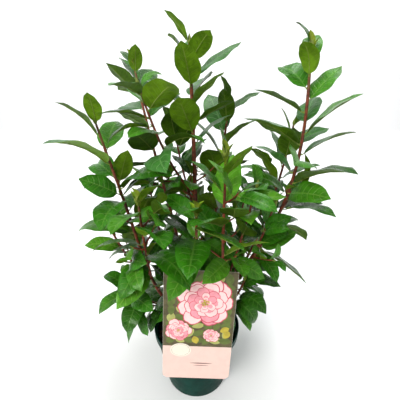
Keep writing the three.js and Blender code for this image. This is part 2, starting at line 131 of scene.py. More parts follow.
@dataclass
class MeshStack:
    """Gathers many small shapes, each made as arrays, into one mesh."""

    points: list[Vec] = field(default_factory=list)
    faces: list[Vec] = field(default_factory=list)
    marks: list[Vec] = field(default_factory=list)
    uvs: list[Vec] = field(default_factory=list)
    count: int = 0

    def add(self, points: Vec, faces: Vec, mark: int | Vec = 0, uv: Vec | None = None) -> None:
        """Adds one shape.

        Args:
            points: Its points in millimetres, one row each.
            faces: Its four-cornered faces as rows of point numbers; a triangle repeats its last corner.
            mark: The number of the material slot, for all faces or for each.
            uv: Two numbers for each point, where the shape carries a map.
        """
        self.points.append(points)
        self.faces.append(faces + self.count)
        self.marks.append(np.full(len(faces), mark) if isinstance(mark, int) else mark)
        self.uvs.append(np.zeros((len(points), 2)) if uv is None else uv)
        self.count += len(points)

    def piece(self, name: str, materials: Sequence[bpy.types.Material], smooth: bool = True) -> bpy.types.Object:
        """Makes the object.

        Args:
            name: The piece's name.
            materials: One for each slot number used.
            smooth: Whether its faces are shaded smoothly.

        Returns:
            The new object, with its place in its mesh.
        """
        points = np.vstack(self.points) * MM
        rows = np.vstack(self.faces)
        marks = np.concatenate(self.marks)
        flat = rows[:, 2] == rows[:, 3]
        sizes = np.where(flat, 3, 4)
        keep = np.ones(rows.shape, bool)
        keep[flat, 3] = False
        corners = rows[keep]
        mesh = bpy.data.meshes.new(name)
        mesh.vertices.add(len(points))
        mesh.vertices.foreach_set("co", points.ravel())
        mesh.loops.add(len(corners))
        mesh.loops.foreach_set("vertex_index", corners)
        mesh.polygons.add(len(rows))
        mesh.polygons.foreach_set("loop_start", np.concatenate([[0], np.cumsum(sizes)[:-1]]))
        mesh.polygons.foreach_set("material_index", marks)
        mesh.polygons.foreach_set("use_smooth", np.full(len(rows), smooth))
        layer = mesh.uv_layers.new(name="surface")
        layer.uv.foreach_set("vector", np.vstack(self.uvs)[corners].ravel())
        mesh.update(calc_edges=True)
        for material in materials:
            mesh.materials.append(material)
        made = bpy.data.objects.new(name, mesh)
        bpy.context.collection.objects.link(made)
        return made


def tube_faces(rings: int, sides: int) -> Vec:
    """The faces of a tube of rings, capped at both ends by a fan round a middle point.

    Args:
        rings: The number of rings, each of the given number of points, in order.
        sides: The number of points in each ring.

    Returns:
        Rows of four point numbers. Two middle points follow the rings' own: the foot's, then the tip's.
    """
    side = np.arange(sides)
    following = (side + 1) % sides
    ring = np.arange(rings - 1)[:, None] * sides
    walls = np.stack([ring + side, ring + following, ring + sides + following, ring + sides + side], -1)
    foot, tip = rings * sides, rings * sides + 1
    last = (rings - 1) * sides
    foot_fan = np.stack([following, side, np.full(sides, foot), np.full(sides, foot)], -1)
    tip_fan = np.stack([last + side, last + following, np.full(sides, tip), np.full(sides, tip)], -1)
    return np.vstack([walls.reshape(-1, 4), foot_fan, tip_fan])


def tube_points(centres: Vec, sides: Vec, fronts: Vec, radii: Vec, around: int) -> Vec:
    """The points of a round tube along a line of centres.

    Args:
        centres: One row for each ring.
        sides: The ring's first direction, square to its way.
        fronts: The ring's second direction, square to both.
        radii: One radius for each ring, or one for each ring and each point round it.
        around: The number of points in each ring.

    Returns:
        The rings' points, then the foot's and the tip's middle points.
    """
    turns = 2 * math.pi * np.arange(around) / around
    reach = radii[:, None] if radii.ndim == 1 else radii
    ring = sides[:, None] * np.cos(turns)[None, :, None] + fronts[:, None] * np.sin(turns)[None, :, None]
    walls = centres[:, None] + ring * reach[:, :, None]
    return np.vstack([walls.reshape(-1, 3), centres[:1], centres[-1:]])


def wobble(points: Vec, scale: float, seed: int) -> Vec:
    """A smooth, seeded noise between about -1 and 1, from a few crossing waves.

    Args:
        points: One row for each point.
        scale: The length of the waves, in the points' own units.
        seed: Picks the waves.

    Returns:
        One number for each point.
    """
    draw = np.random.default_rng(seed)
    ways = draw.normal(size=(7, 3))
    ways /= np.linalg.norm(ways, axis=1)[:, None]
    pitch = 2 * math.pi / (scale * draw.uniform(0.6, 1.5, 7))
    phase = draw.uniform(0, 2 * math.pi, 7)
    return np.sin((points @ ways.T) * pitch + phase).mean(axis=1) * 1.8


# ------------------------------------------------------------------------------------------ the growth rule


UP: Vec = np.array([0.0, 0.0, 1.0])


@dataclass(frozen=True)
class GrowthRule:
    """How leaves stand on a shoot, and the room that each needs."""

    seed: int = 30
    tries: int = 6
    turn: float = 137.5
    scatter_turn: float = 40.0
    scatter_lean: float = 14.0
    scatter_roll: float = 30.0
    petiole: float = 0.1
    shoulder: float = 0.62
    taper: float = 0.8
    stations: int = 8
    clear_leaf: float = 8.0
    clear_own: float = 5.0
    clear_limb: float = 8.0
    clear_made: float = 8.0
    clear_ground: float = 4.0
    bud: float = 13.0
    twig_tip: float = 1.6
    bough_power: float = 0.5
    trunk_foot: float = 5.2
    trunk_tip: float = 2.2
    trunk_power: float = 0.9
    trunk_flare: float = 4.2
    flare_share: float = 0.05


RULE = GrowthRule()


@dataclass(frozen=True)
class Shoot:
    """One limb, from its foot to its tip, and the leaves on it.

    The foot is a point, or a parent's name and a share of the parent's way. The knee bends the limb: a handle at
    shares of its reach and its rise. Bend and sway are bows in its own plane and across it. Leaves begin at the
    share "bare", and lean from the stem by the two angles of "lean", low down and at the tip. Girth and end are
    the radii at foot and tip.
    """

    name: str
    foot: tuple[float, float, float] | tuple[str, float]
    tip: tuple[float, float, float]
    knee: tuple[float, float]
    girth: float
    bare: float
    leaves: int
    leaf: float
    lean: tuple[float, float]
    bend: float = 0.0
    sway: float = 0.0
    arch: float = 1.0
    end: float = RULE.twig_tip


SHOOTS = (
    Shoot("middle", (0, 0, 118), (-10, 20, 630), (0.6, 0.5), 5.2, 0.7,
          12, 80, (60, 40), sway=-4, arch=0.5),
    Shoot("left", (-3, 0, 121), (-150, -10, 520), (0.75, 0.3), 3.3, 0.5,
          12, 100, (80, 30), bend=8),
    Shoot("left_back", (-2, 3, 121), (-110, 100, 610), (0.6, 0.65), 3, 0.5,
          12, 80, (80, 30), bend=-5, arch=0.5),
    Shoot("right", (3, 0, 121), (160, 0, 620), (0.85, 0.2), 3.6, 0.45,
          22, 90, (75, 30), bend=-18, arch=0.8),
    Shoot("front", (2, -4, 119), (40, -60, 480), (1.6, 0.33), 2.8, 0.4,
          10, 90, (75, 20), bend=10, arch=0.5),
    Shoot("right_mid", (3, 4, 121), (60, 100, 550), (0.5, 0.4), 2.8, 0.5,
          12, 85, (60, 30), arch=0.5),
    Shoot("right_back", (4, 4, 121), (180, 90, 510), (0.8, 0.3), 3, 0.5,
          12, 90, (60, 40), arch=0.8),
    Shoot("centre_low", (-2, -4, 119), (0, -70, 400), (0.5, 0.5), 2.6, 0.6,
          8, 90, (90, 60), arch=0.5),
    Shoot("left_inner", ("left", 0.35), (-80, -80, 420), (0.7, 0.3), 2.1, 0.4,
          8, 85, (75, 50)),
    Shoot("left_twig", ("left", 0.4), (-140, -40, 370), (0.6, 0.3), 1.9, 0.3,
          5, 50, (60, 20), arch=1.5),
    Shoot("left_low", ("left", 0.2), (-120, -60, 260), (0.7, 0.5), 2.1, 0.25,
          10, 65, (85, 30), arch=1.5),
    Shoot("middle_left", ("middle", 0.55), (-80, -20, 570), (0.6, 0.3), 2, 0.5,
          10, 80, (75, 60), arch=1.2),
    Shoot("middle_back", ("middle", 0.5), (-40, 70, 510), (0.6, 0.3), 1.9, 0.4,
          8, 70, (60, 40), arch=0.8),
    Shoot("right_twig", ("right", 0.3), (120, -40, 400), (0.6, 0.3), 1.9, 0.3,
          5, 60, (60, 20)),
    Shoot("right_inner", ("right", 0.2), (90, -40, 430), (0.5, 0.3), 2.1, 0.3,
          8, 80, (60, 20)),
    Shoot("right_low", ("right", 0.15), (80, -50, 270), (0.8, 0.4), 2, 0.4,
          5, 55, (65, 20), arch=1.5),
    Shoot("back_left", (-3, 5, 120), (-100, 120, 380), (0.6, 0.2), 3, 0.3,
          12, 95, (70, 20), arch=0.5),
    Shoot("back_right", (3, 5, 120), (110, 140, 360), (0.6, 0.2), 3, 0.35,
          10, 95, (60, 20), arch=0.5),
    Shoot("back", (0, 6, 120), (-10, 180, 340), (0.6, 0.2), 2.8, 0.35,
          10, 95, (60, 20), arch=0.5),
)


@dataclass(frozen=True)
class SpurRule:
    """How short side twigs fill the crown's inside, by the same rule as the shoots that bear them."""

    spacing: float = 17.0
    first: float = 0.12
    last: float = 0.86
    lowest: float = 165.0
    highest: float = 430.0
    reach: tuple[float, float] = (16.0, 38.0)
    rise: float = 0.75
    girth: float = 1.5
    tip: float = 0.9
    tries: int = 4
    leaves: int = 4
    size: float = 0.7
    least_leaf: float = 42.0
    room: float = 5.0
    leaf_room: float = 4.0
    limb_room: float = 6.0
    spread_at_ground: float = 62.0
    spread_per_rise: float = 0.34


SPURS = SpurRule()


class Draws:
    """A seeded run of even draws between 0 and 1."""

    def __init__(self, seed: int) -> None:
        """Starts the run from a seed."""
        self.state = seed * 7919 + 12345
        for _ in range(3):
            self()

    def __call__(self) -> float:
        """The next draw."""
        self.state = (self.state * 48271) % 2147483647
        return self.state / 2147483647


class Limb:
    """A shoot worked out in space."""

    def __init__(self, shoot: Shoot, seed: int, grown: dict[str, "Limb"]) -> None:
        """Finds where the shoot's foot lies and how it is aimed.

        Args:
            shoot: The shoot's sizes.
            seed: Starts the draws for its leaves.
            grown: The limbs made before it, among them its parent.
        """
        self.shoot = shoot
        self.seed = seed
        self.name = shoot.name
        self.is_trunk = shoot.name == "middle"
        if isinstance(shoot.foot[0], str):
            self.foot = grown[shoot.foot[0]].point(float(shoot.foot[1]))
        else:
            self.foot = np.array(shoot.foot, float)
        aim = np.array(shoot.tip, float) - self.foot
        self.rise = float(aim[2])
        self.reach = math.hypot(aim[0], aim[1])
        self.heading = np.array([aim[0] / self.reach, aim[1] / self.reach, 0.0])
        self.across = np.array([-self.heading[1], self.heading[0], 0.0])
        steps = 40
        line = [self.point(i / steps) for i in range(steps + 1)]
        self.length = sum(float(np.linalg.norm(b - a)) for a, b in zip(line, line[1:]))

    def point(self, share: float) -> Vec:
        """The point at a share of the way from foot to tip.

        Args:
            share: The share of the way.

        Returns:
            The point.
        """
        knee_out, knee_up = self.shoot.knee
        early = 2 * share * (1 - share)
        out = self.reach * (early * knee_out + share * share) + self.shoot.bend * math.sin(2 * math.pi * share)
        up = self.rise * (early * knee_up + share * share)
        aside = self.shoot.sway * math.sin(math.pi * share)
        return self.foot + self.heading * out + self.across * aside + UP * up

    def frame(self, share: float) -> tuple[Vec, Vec, Vec]:
        """The directions along the limb and square to it, at a share of its way."""
        along = unit(self.point(min(1.0, share + 0.01)) - self.point(max(0.0, share - 0.01)))
        guide = np.array([0.0, 1.0, 0.0]) if abs(along[1]) < 0.9 else np.array([1.0, 0.0, 0.0])
        side = unit(cross(along, guide))
        return along, side, cross(along, side)

    def radius(self, share: float) -> float:
        """The limb's radius at a share of its way."""
        if self.is_trunk:
            flare = RULE.trunk_flare * math.exp(-share / RULE.flare_share)
            return RULE.trunk_tip + (RULE.trunk_foot - RULE.trunk_tip) * (1 - share) ** RULE.trunk_power + flare
        return self.shoot.end + (self.shoot.girth - self.shoot.end) * (1 - share) ** RULE.bough_power

    @property
    def bud_end(self) -> float:
        """The share of its way at which its bud ends, a little over 1."""
        return 1 + RULE.bud / self.length

    def probes(self, start: float, end: float) -> Vec:
        """Points along a stretch of the limb, a few millimetres apart."""
        count = math.ceil((self.length * (end - start)) / 6) + 1
        return np.array([self.point(start + (end - start) * i / count) for i in range(count + 1)])


@dataclass
class Leaf:
    """One leaf: where it is rooted, how it is turned, and its shape."""

    limb: Limb
    share: float
    order: float
    root: Vec
    aim: Vec
    face: Vec
    length: float
    width: float
    arch: float
    fold: float
    draw: float

    @property
    def across(self) -> Vec:
        """The direction across the blade."""
        return cross(self.aim, self.face)

    def line(self, steps: int) -> tuple[Vec, Vec, Vec]:
        """The midrib's points, the face's directions and the ways along it, at even steps.

        Args:
            steps: The number of steps along the blade.

        Returns:
            Three arrays with a row for each end of a step.
        """
        shares = np.arange(steps + 1) / steps
        angle = self.arch * (shares ** 1.25 - 0.25)
        cos, sin = np.cos(angle)[:, None], np.sin(angle)[:, None]
        ways = cos * self.aim - sin * self.face
        faces = sin * self.aim + cos * self.face
        start = self.root + self.aim * (RULE.petiole * self.length)
        hops = (ways[1:] + ways[:-1]) * (self.length / steps / 2)
        return np.vstack([start, start + np.cumsum(hops, axis=0)]), faces, ways

    def probes(self) -> Vec:
        """The points of the blade that stand for it when its room is tested, from a quarter of its length on.

        Returns:
            One row for each point.
        """
        steps = RULE.stations
        middles, faces, _ = self.line(steps)
        rows = []
        for i in range(2, steps + 1):
            half = blade_shape(i / steps) * self.width / 2
            for side in (-1.0, -0.5, 0.0, 0.5, 1.0) if i < steps else (0.0,):
                off = half * side
                rows.append(
                    middles[i] + self.across * (math.cos(self.fold) * off) + faces[i] * (math.sin(self.fold) * abs(off))
                )
        return np.array(rows)

    def stalk_probes(self) -> Vec:
        """The points of the leaf's stalk and base, which may lie near its own stem."""
        return np.vstack([self.root, self.line(RULE.stations)[0][:2]])


def blade_shape(share: float) -> float:
    """Half the blade's width at a share of its length, as a share of the greatest half width."""
    shoulder, taper = RULE.shoulder, RULE.taper
    widest = shoulder / (shoulder + taper)
    return share ** shoulder * (1 - share) ** taper / (widest ** shoulder * (1 - widest) ** taper)


def leaf_of(limb: Limb, count: int, attempt: int) -> Leaf:
    """Draws a leaf of a limb at one of its tries.

    Args:
        limb: The limb that bears it.
        count: Its place on the limb, from 0 for the lowest.
        attempt: How many places were drawn for it before. Each strays further than the last.

    Returns:
        The leaf, not yet tested for room.
    """
    shoot = limb.shoot
    draw = Draws((limb.seed * 100 + count) * 10 + attempt)
    turn_draw, lean_draw, long_draw, arch_draw, roll_draw, fold_draw, wide_draw = [draw() for _ in range(7)]
    order = count / (shoot.leaves - 1)
    share = shoot.bare + (1 - shoot.bare) * (0.03 + 0.96 * order) ** 0.85
    along, side, front = limb.frame(share)
    stray = (2 * turn_draw - 1) * RULE.scatter_turn * (attempt + 1)
    turn = math.radians((limb.seed + count) * RULE.turn + stray)
    low, high = shoot.lean
    lean = math.radians(low + (high - low) * order ** 2.2 + (2 * lean_draw - 1) * RULE.scatter_lean)
    aim = unit((side * math.cos(turn) + front * math.sin(turn)) * math.sin(lean) + along * math.cos(lean))
    length = shoot.leaf * (0.8 + 0.35 * long_draw) * (1 if order < 0.7 else 1 - 1.5 * (order - 0.7))
    face = along * 0.45 + UP * 0.55
    face = face - aim * float(face @ aim)
    if float(face @ face) < 0.02:
        face = along - aim * float(along @ aim)
    face = turned_about(unit(face), aim, math.radians((2 * roll_draw - 1) * RULE.scatter_roll))
    return Leaf(
        limb=limb,
        share=share,
        order=order,
        root=limb.point(share),
        aim=aim,
        face=face,
        length=length,
        width=length * (0.5 + 0.12 * wide_draw),
        arch=math.radians((20 + 60 * arch_draw) * shoot.arch),
        fold=math.radians(8 + 18 * fold_draw),
        draw=(turn_draw * 7 + lean_draw * 11 + long_draw * 13) % 1,
    )


def spurs_of(limb: Limb) -> Iterator[tuple[Shoot, int]]:
    """Gives the short side twigs that a limb may bear inside the crown.

    Args:
        limb: The limb that bears them.

    Returns:
        Each shoot with its seed, from the limb's foot upwards.
    """
    draw = Draws(limb.seed)
    count = int(limb.length * (SPURS.last - SPURS.first) / SPURS.spacing)
    for k in range(count):
        share = SPURS.first + (SPURS.last - SPURS.first) * (k + draw()) / count
        turn = math.radians(RULE.turn * k + 360 * draw())
        reach = SPURS.reach[0] + (SPURS.reach[1] - SPURS.reach[0]) * draw()
        seed = int(100 + 900 * draw())
        base = limb.point(share)
        if not SPURS.lowest < base[2] < SPURS.highest:
            continue
        along, side, front = limb.frame(share)
        tip = base + (side * math.cos(turn) + front * math.sin(turn) + along * SPURS.rise) * reach
        yield Shoot(
            name=f"{limb.name}_spur_{k}", foot=(limb.name, share), tip=tuple(tip), knee=(0.6, 0.4), girth=SPURS.girth,
            bare=0.35, leaves=SPURS.leaves, leaf=max(SPURS.least_leaf, limb.shoot.leaf * SPURS.size), lean=(70, 30),
            arch=limb.shoot.arch, end=SPURS.tip,
        ), seed


def apart(some: Vec, others: Vec, distance: float) -> bool:
    """True where two sets of points stay a distance apart."""
    gaps = some[:, None] - others[None]
    return bool((np.einsum("ijk,ijk->ij", gaps, gaps) >= distance * distance).all())


class Placed:
    """A leaf in its place, with the points that stand for it. Its stalk's few may lie near its own stem."""

    def __init__(self, leaf: Leaf) -> None:
        """Works out the leaf's points once."""
        self.leaf = leaf
        self.blade = leaf.probes()
        self.whole = np.vstack([leaf.stalk_probes(), self.blade])
        self.middle = self.blade[len(self.blade) // 2]

    def near(self, other: "Placed") -> bool:
        """True where another leaf is so near that their points need comparing."""
        reach = 1.3 * (other.leaf.length + self.leaf.length) / 2 + RULE.clear_leaf
        return float(np.linalg.norm(other.middle - self.middle)) < reach

    def clear_of_sisters(self, sisters: list["Placed"], room: float) -> bool:
        """True where the blade stays a distance from each other blade on its own limb."""
        return all(not self.near(other) or apart(self.blade, other.blade, room) for other in sisters)

    def clear_of_others(self, others: list["Placed"], room: float) -> bool:
        """True where the whole leaf stays a distance from each leaf of other limbs."""
        return all(not self.near(other) or apart(self.whole, other.whole, room) for other in others)


@dataclass
class Plant:
    """The whole plant worked out by the rule: its limbs, and the leaves that find room."""

    clear_of_made: Callable[[Vec], bool]
    leaves_open: Callable[[Vec], bool]
    limbs: dict[str, Limb] = field(default_factory=dict)
    spurs: dict[str, Limb] = field(default_factory=dict)
    placed: list[Placed] = field(default_factory=list)

    @property
    def leaves(self) -> list[Leaf]:
        """All the leaves that found room."""
        return [here.leaf for here in self.placed]

    def grow(self) -> None:
        """Grows every shoot and settles its leaves."""
        for place, shoot in enumerate(SHOOTS, start=1):
            self.limbs[shoot.name] = Limb(shoot, RULE.seed + place, self.limbs)
        for limb in self.limbs.values():
            stem = limb.probes(0.04, limb.shoot.bare - 0.01)
            rest = np.vstack([other.probes(0.04, other.bud_end) for other in self.limbs.values() if other is not limb])

            def fits(here: Placed, own: list[Placed]) -> bool:
                """True where a leaf has its room among limbs, leaves and made things.

                Args:
                    here: The leaf, placed.
                    own: The leaves already placed on its shoot.

                Returns:
                    Whether there is room.
                """
                return (
                    self.clear_of_made(here.whole)
                    and apart(here.blade, stem, RULE.clear_limb)
                    and apart(here.whole, rest, RULE.clear_limb)
                    and here.clear_of_sisters(own, RULE.clear_own)
                    and here.clear_of_others(self.placed, RULE.clear_leaf)
                )

            self.placed += self._settled(limb, RULE.tries, fits)

    def fill(self) -> None:
        """Grows spurs on every shoot, and keeps each that bears at least one leaf and touches nothing."""
        blocks = np.vstack([limb.probes(0.04, 1.0) for limb in self.limbs.values()])

        def fits(here: Placed, own: list[Placed]) -> bool:
            """True where a spur's leaf has room inside the crown and hides none of the card.

            Args:
                here: The leaf, placed.
                own: The leaves already placed on its shoot.

            Returns:
                Whether there is room.
            """
            return (
                self._within(here.blade)
                and self.clear_of_made(here.whole)
                and self.leaves_open(here.blade)
                and apart(here.blade, blocks, SPURS.limb_room)
                and here.clear_of_sisters(self.placed + own, SPURS.room)
            )

        for parent in list(self.limbs.values()):
            for shoot, seed in spurs_of(parent):
                spur = Limb(shoot, seed, self.limbs)
                line = spur.probes(0.15, 1.0)
                if not self.clear_of_made(line) or not apart(line[2:], blocks, SPURS.limb_room):
                    continue
                if not all(apart(line, here.blade, SPURS.leaf_room) for here in self.placed):
                    continue
                own = self._settled(spur, SPURS.tries, fits)
                if own:
                    self.spurs[spur.name] = spur
                    self.placed += own
                    blocks = np.vstack([blocks, line])

    @staticmethod
    def _settled(limb: Limb, tries: int, fits: Callable[[Placed, list[Placed]], bool]) -> list[Placed]:
        """Draws each leaf of a limb, again while it finds no room.

        Args:
            limb: The limb that bears the leaves.
            tries: How many places are drawn for a leaf before it is skipped.
            fits: Tests a leaf against all else and against the limb's own leaves before it.

        Returns:
            The leaves that found room.
        """
        own: list[Placed] = []
        for count in range(limb.shoot.leaves):
            drawn = (Placed(leaf_of(limb, count, attempt)) for attempt in range(tries))
            found = next((here for here in drawn if fits(here, own)), None)
            if found:
                own.append(found)
        return own

    @staticmethod
    def _within(points: Vec) -> bool:
        """True where points lie inside the cone that the crown's lower half fills."""
        spread = SPURS.spread_at_ground + SPURS.spread_per_rise * points[:, 2]
        return bool((np.hypot(points[:, 0], points[:, 1]) < spread).all())




# ------------------------------------------------------------------------------------------ finishes


class Slot(Enum):
    """The record's material slots."""

    POT = "pot"
    COMPOST = "compost"
    CARD = "card"
    BARK = "bark"
    FOLIAGE = "foliage"


class Graph:
    """A node tree being laid out, with short calls for the nodes that the finishes use."""

    def __init__(self, tree: bpy.types.NodeTree) -> None:
        """Starts on a tree."""
        self.tree = tree

    def add(self, kind: str, inputs: dict | None = None, **settings: object) -> bpy.types.Node:
        """Adds a node.

        Args:
            kind: The node's type name.
            inputs: A value, or a socket to link, for each input by name or number.
            settings: The node's own properties.

        Returns:
            The new node.
        """
        node = self.tree.nodes.new(kind)
        for name, value in settings.items():
            setattr(node, name, value)
        for name, value in (inputs or {}).items():
            if isinstance(value, bpy.types.NodeSocket):
                self.tree.links.new(value, node.inputs[name])
            else:
                node.inputs[name].default_value = value
        return node

    def math(self, operation: str, first: object, second: object = 0.0) -> bpy.types.NodeSocket:
        """A Math node's result."""
        return self.add("ShaderNodeMath", {0: first, 1: second}, operation=operation).outputs[0]

    def ranged(self, value: object, low: float, high: float, to_low: float = 0.0, to_high: float = 1.0) -> object:
        """A value moved smoothly from one range to another, and held inside it."""
        inputs = {"Value": value, "From Min": low, "From Max": high, "To Min": to_low, "To Max": to_high}
        return self.add("ShaderNodeMapRange", inputs, interpolation_type="SMOOTHSTEP").outputs[0]

    def noise(self, where: object, scale: object, detail: float = 4.0, rough: float = 0.55) -> object:
        """A noise texture's value."""
        inputs = {"Vector": where, "Scale": scale, "Detail": detail, "Roughness": rough}
        return self.add("ShaderNodeTexNoise", inputs).outputs["Fac"]

    def mixed(self, share: object, first: object, second: object) -> bpy.types.NodeSocket:
        """Two colours mixed by a share.

        Args:
            share: The share of the way.
            first: The colour at nought.
            second: The colour at one.

        Returns:
            The socket of the mixed colour.
        """
        node = self.add("ShaderNodeMix", {"Factor": share}, data_type="RGBA")
        for socket, value in ((node.inputs[6], first), (node.inputs[7], second)):
            if isinstance(value, bpy.types.NodeSocket):
                self.tree.links.new(value, socket)
            else:
                socket.default_value = value
        return node.outputs[2]


class Effect:
    """A shader node group with named inputs and outputs, made once."""

    def __init__(self, name: str, inputs: dict[str, tuple[str, object]], outputs: dict[str, str]) -> None:
        """Makes the empty group.

        Args:
            name: The group's name.
            inputs: The kind and the usual value of each input.
            outputs: The kind of each output.
        """
        self.tree = bpy.data.node_groups.new(name, "ShaderNodeTree")
        for title, (kind, value) in inputs.items():
            socket = self.tree.interface.new_socket(name=title, in_out="INPUT", socket_type="NodeSocket" + kind)
            if value is not None:
                socket.default_value = value
        for title, kind in outputs.items():
            self.tree.interface.new_socket(name=title, in_out="OUTPUT", socket_type="NodeSocket" + kind)
        self.graph = Graph(self.tree)
        self.given = self.graph.add("NodeGroupInput").outputs
        self.result = self.graph.add("NodeGroupOutput").inputs

    def put(self, title: str, socket: bpy.types.NodeSocket) -> None:
        """Sends a value to one of the group's outputs."""
        self.tree.links.new(socket, self.result[title])

    def placed(self, graph: Graph, values: dict) -> bpy.types.Node:
        """Puts the group in a material.

        Args:
            graph: The material's tree.
            values: A value or a socket for each input.

        Returns:
            The group's node.
        """
        node = graph.tree.nodes.new("ShaderNodeGroup")
        node.node_tree = self.tree
        for name, value in values.items():
            if isinstance(value, bpy.types.NodeSocket):
                graph.tree.links.new(value, node.inputs[name])
            else:
                node.inputs[name].default_value = value
        return node


class Effects:
    """All the effects that the finishes share."""

    def __init__(self) -> None:
        """Makes each group."""
        self.mottle = self._mottle()
        self.relief = self._relief()
        self.soiling = self._soiling()
        self.leaf_veins = self._leaf_veins()

    @staticmethod
    def _mottle() -> Effect:
        """A colour that drifts between two tones in soft clouds.

        Returns:
            The group.
        """
        effect = Effect(
            "mottle",
            {"Where": ("Vector", None), "Scale": ("Float", 40.0), "Tone": ("Color", None), "Other": ("Color", None),
             "Least": ("Float", 0.4), "Most": ("Float", 0.65)},
            {"Colour": "Color", "Mask": "Float"},
        )
        graph, given = effect.graph, effect.given
        broad = graph.noise(given["Where"], given["Scale"], 5.0)
        inputs = {"Value": broad, "From Min": given["Least"], "From Max": given["Most"]}
        mask = graph.add("ShaderNodeMapRange", inputs, interpolation_type="SMOOTHSTEP").outputs[0]
        effect.put("Colour", graph.mixed(mask, given["Tone"], given["Other"]))
        effect.put("Mask", mask)
        return effect

    @staticmethod
    def _relief() -> Effect:
        """A fine grain as a normal, with a roughness that drifts with it.

        Returns:
            The group.
        """
        effect = Effect(
            "fine_relief",
            {"Where": ("Vector", None), "Scale": ("Float", 900.0), "Strength": ("Float", 0.2),
             "Depth": ("Float", 0.0002), "Smooth": ("Float", 0.35), "Rough": ("Float", 0.5)},
            {"Normal": "Vector", "Roughness": "Float"},
        )
        graph, given = effect.graph, effect.given
        fine = graph.noise(given["Where"], given["Scale"], 3.0)
        bump = graph.add("ShaderNodeBump", {"Strength": given["Strength"], "Distance": given["Depth"], "Height": fine})
        drift = graph.noise(given["Where"], graph.math("MULTIPLY", given["Scale"], 0.07), 3.0)
        inputs = {"Value": drift, "From Min": 0.3, "From Max": 0.7, "To Min": given["Smooth"], "To Max": given["Rough"]}
        effect.put("Normal", bump.outputs[0])
        effect.put("Roughness", graph.add("ShaderNodeMapRange", inputs).outputs[0])
        return effect

    @staticmethod
    def _soiling() -> Effect:
        """Splashed dirt that thins out upwards from the ground.

        Returns:
            The group.
        """
        effect = Effect(
            "soiling",
            {"Where": ("Vector", None), "Colour": ("Color", None), "Dirt": ("Color", None),
             "Fades at": ("Float", 0.06), "Amount": ("Float", 0.5)},
            {"Colour": "Color", "Mask": "Float"},
        )
        graph, given = effect.graph, effect.given
        height = graph.add("ShaderNodeSeparateXYZ", {0: given["Where"]}).outputs[2]
        low = graph.add("ShaderNodeMapRange", {"Value": height, "From Min": given["Fades at"], "From Max": 0.0})
        specks = graph.ranged(graph.noise(given["Where"], 260.0, 6.0, 0.7), 0.5, 0.62)
        mask = graph.math("MULTIPLY", graph.math("MULTIPLY", low.outputs[0], specks), given["Amount"])
        effect.put("Colour", graph.mixed(mask, given["Colour"], given["Dirt"]))
        effect.put("Mask", mask)
        return effect

    @staticmethod
    def _leaf_veins() -> Effect:
        """Side veins and a net between them, from a leaf's own map: along in the first number, across in the second.

        Returns:
            The group.
        """
        effect = Effect(
            "leaf_veins",
            {"Map": ("Vector", None), "Pairs": ("Float", 8.0), "Slant": ("Float", 1.1)},
            {"Veins": "Float", "Net": "Float", "Middle": "Float"},
        )
        graph, given = effect.graph, effect.given
        parts = graph.add("ShaderNodeSeparateXYZ", {0: given["Map"]}).outputs
        aside = graph.math("ABSOLUTE", graph.math("SUBTRACT", graph.math("MULTIPLY", parts[1], 2.0), 1.0))
        run = graph.math("SUBTRACT", graph.math("MULTIPLY", parts[0], given["Pairs"]),
                         graph.math("MULTIPLY", aside, given["Slant"]))
        away = graph.math("ABSOLUTE", graph.math("SUBTRACT", graph.math("FRACT", run), 0.5))
        line = graph.ranged(away, 0.40, 0.5)
        inner = graph.ranged(aside, 0.95, 0.6)
        effect.put("Veins", graph.math("MULTIPLY", line, inner))
        stretched = graph.add("ShaderNodeVectorMath", {0: given["Map"], 1: (34.0, 26.0, 1.0)}, operation="MULTIPLY")
        cells = graph.add("ShaderNodeTexVoronoi", {"Vector": stretched.outputs[0], "Scale": 1.0},
                          feature="DISTANCE_TO_EDGE")
        effect.put("Net", graph.ranged(cells.outputs["Distance"], 0.09, 0.0))
        effect.put("Middle", graph.ranged(aside, 0.09, 0.02))
        return effect


class Finish:
    """A material being made: its tree, its surface shader and its coordinates."""

    def __init__(self, name: str, colour: Colour, roughness: float) -> None:
        """Starts a material with plain values.

        Args:
            name: The material's name.
            colour: Its plain base colour.
            roughness: Its plain roughness.
        """
        self.material = bpy.data.materials.new(name)
        self.material.use_nodes = True
        self.material.diffuse_color = colour
        self.graph = Graph(self.material.node_tree)
        self.shader = self.material.node_tree.nodes["Principled BSDF"]
        self.shader.inputs["Base Color"].default_value = colour
        self.shader.inputs["Roughness"].default_value = roughness
        self.colour = colour

    @property
    def where(self) -> bpy.types.NodeSocket:
        """The object's own coordinates, in metres."""
        return self.graph.add("ShaderNodeTexCoord").outputs["Object"]

    @property
    def own_map(self) -> bpy.types.NodeSocket:
        """The piece's own map."""
        return self.graph.add("ShaderNodeUVMap", uv_map="surface").outputs[0]

    def feed(self, title: str, socket: bpy.types.NodeSocket) -> None:
        """Links a value to the surface shader."""
        self.graph.tree.links.new(socket, self.shader.inputs[title])

    def plain(self, **values: float) -> None:
        """Sets values on the surface shader's own sockets, with underscores for spaces."""
        for title, value in values.items():
            self.shader.inputs[title.replace("_", " ")].default_value = value


WAX_TINT = "#dceec8"


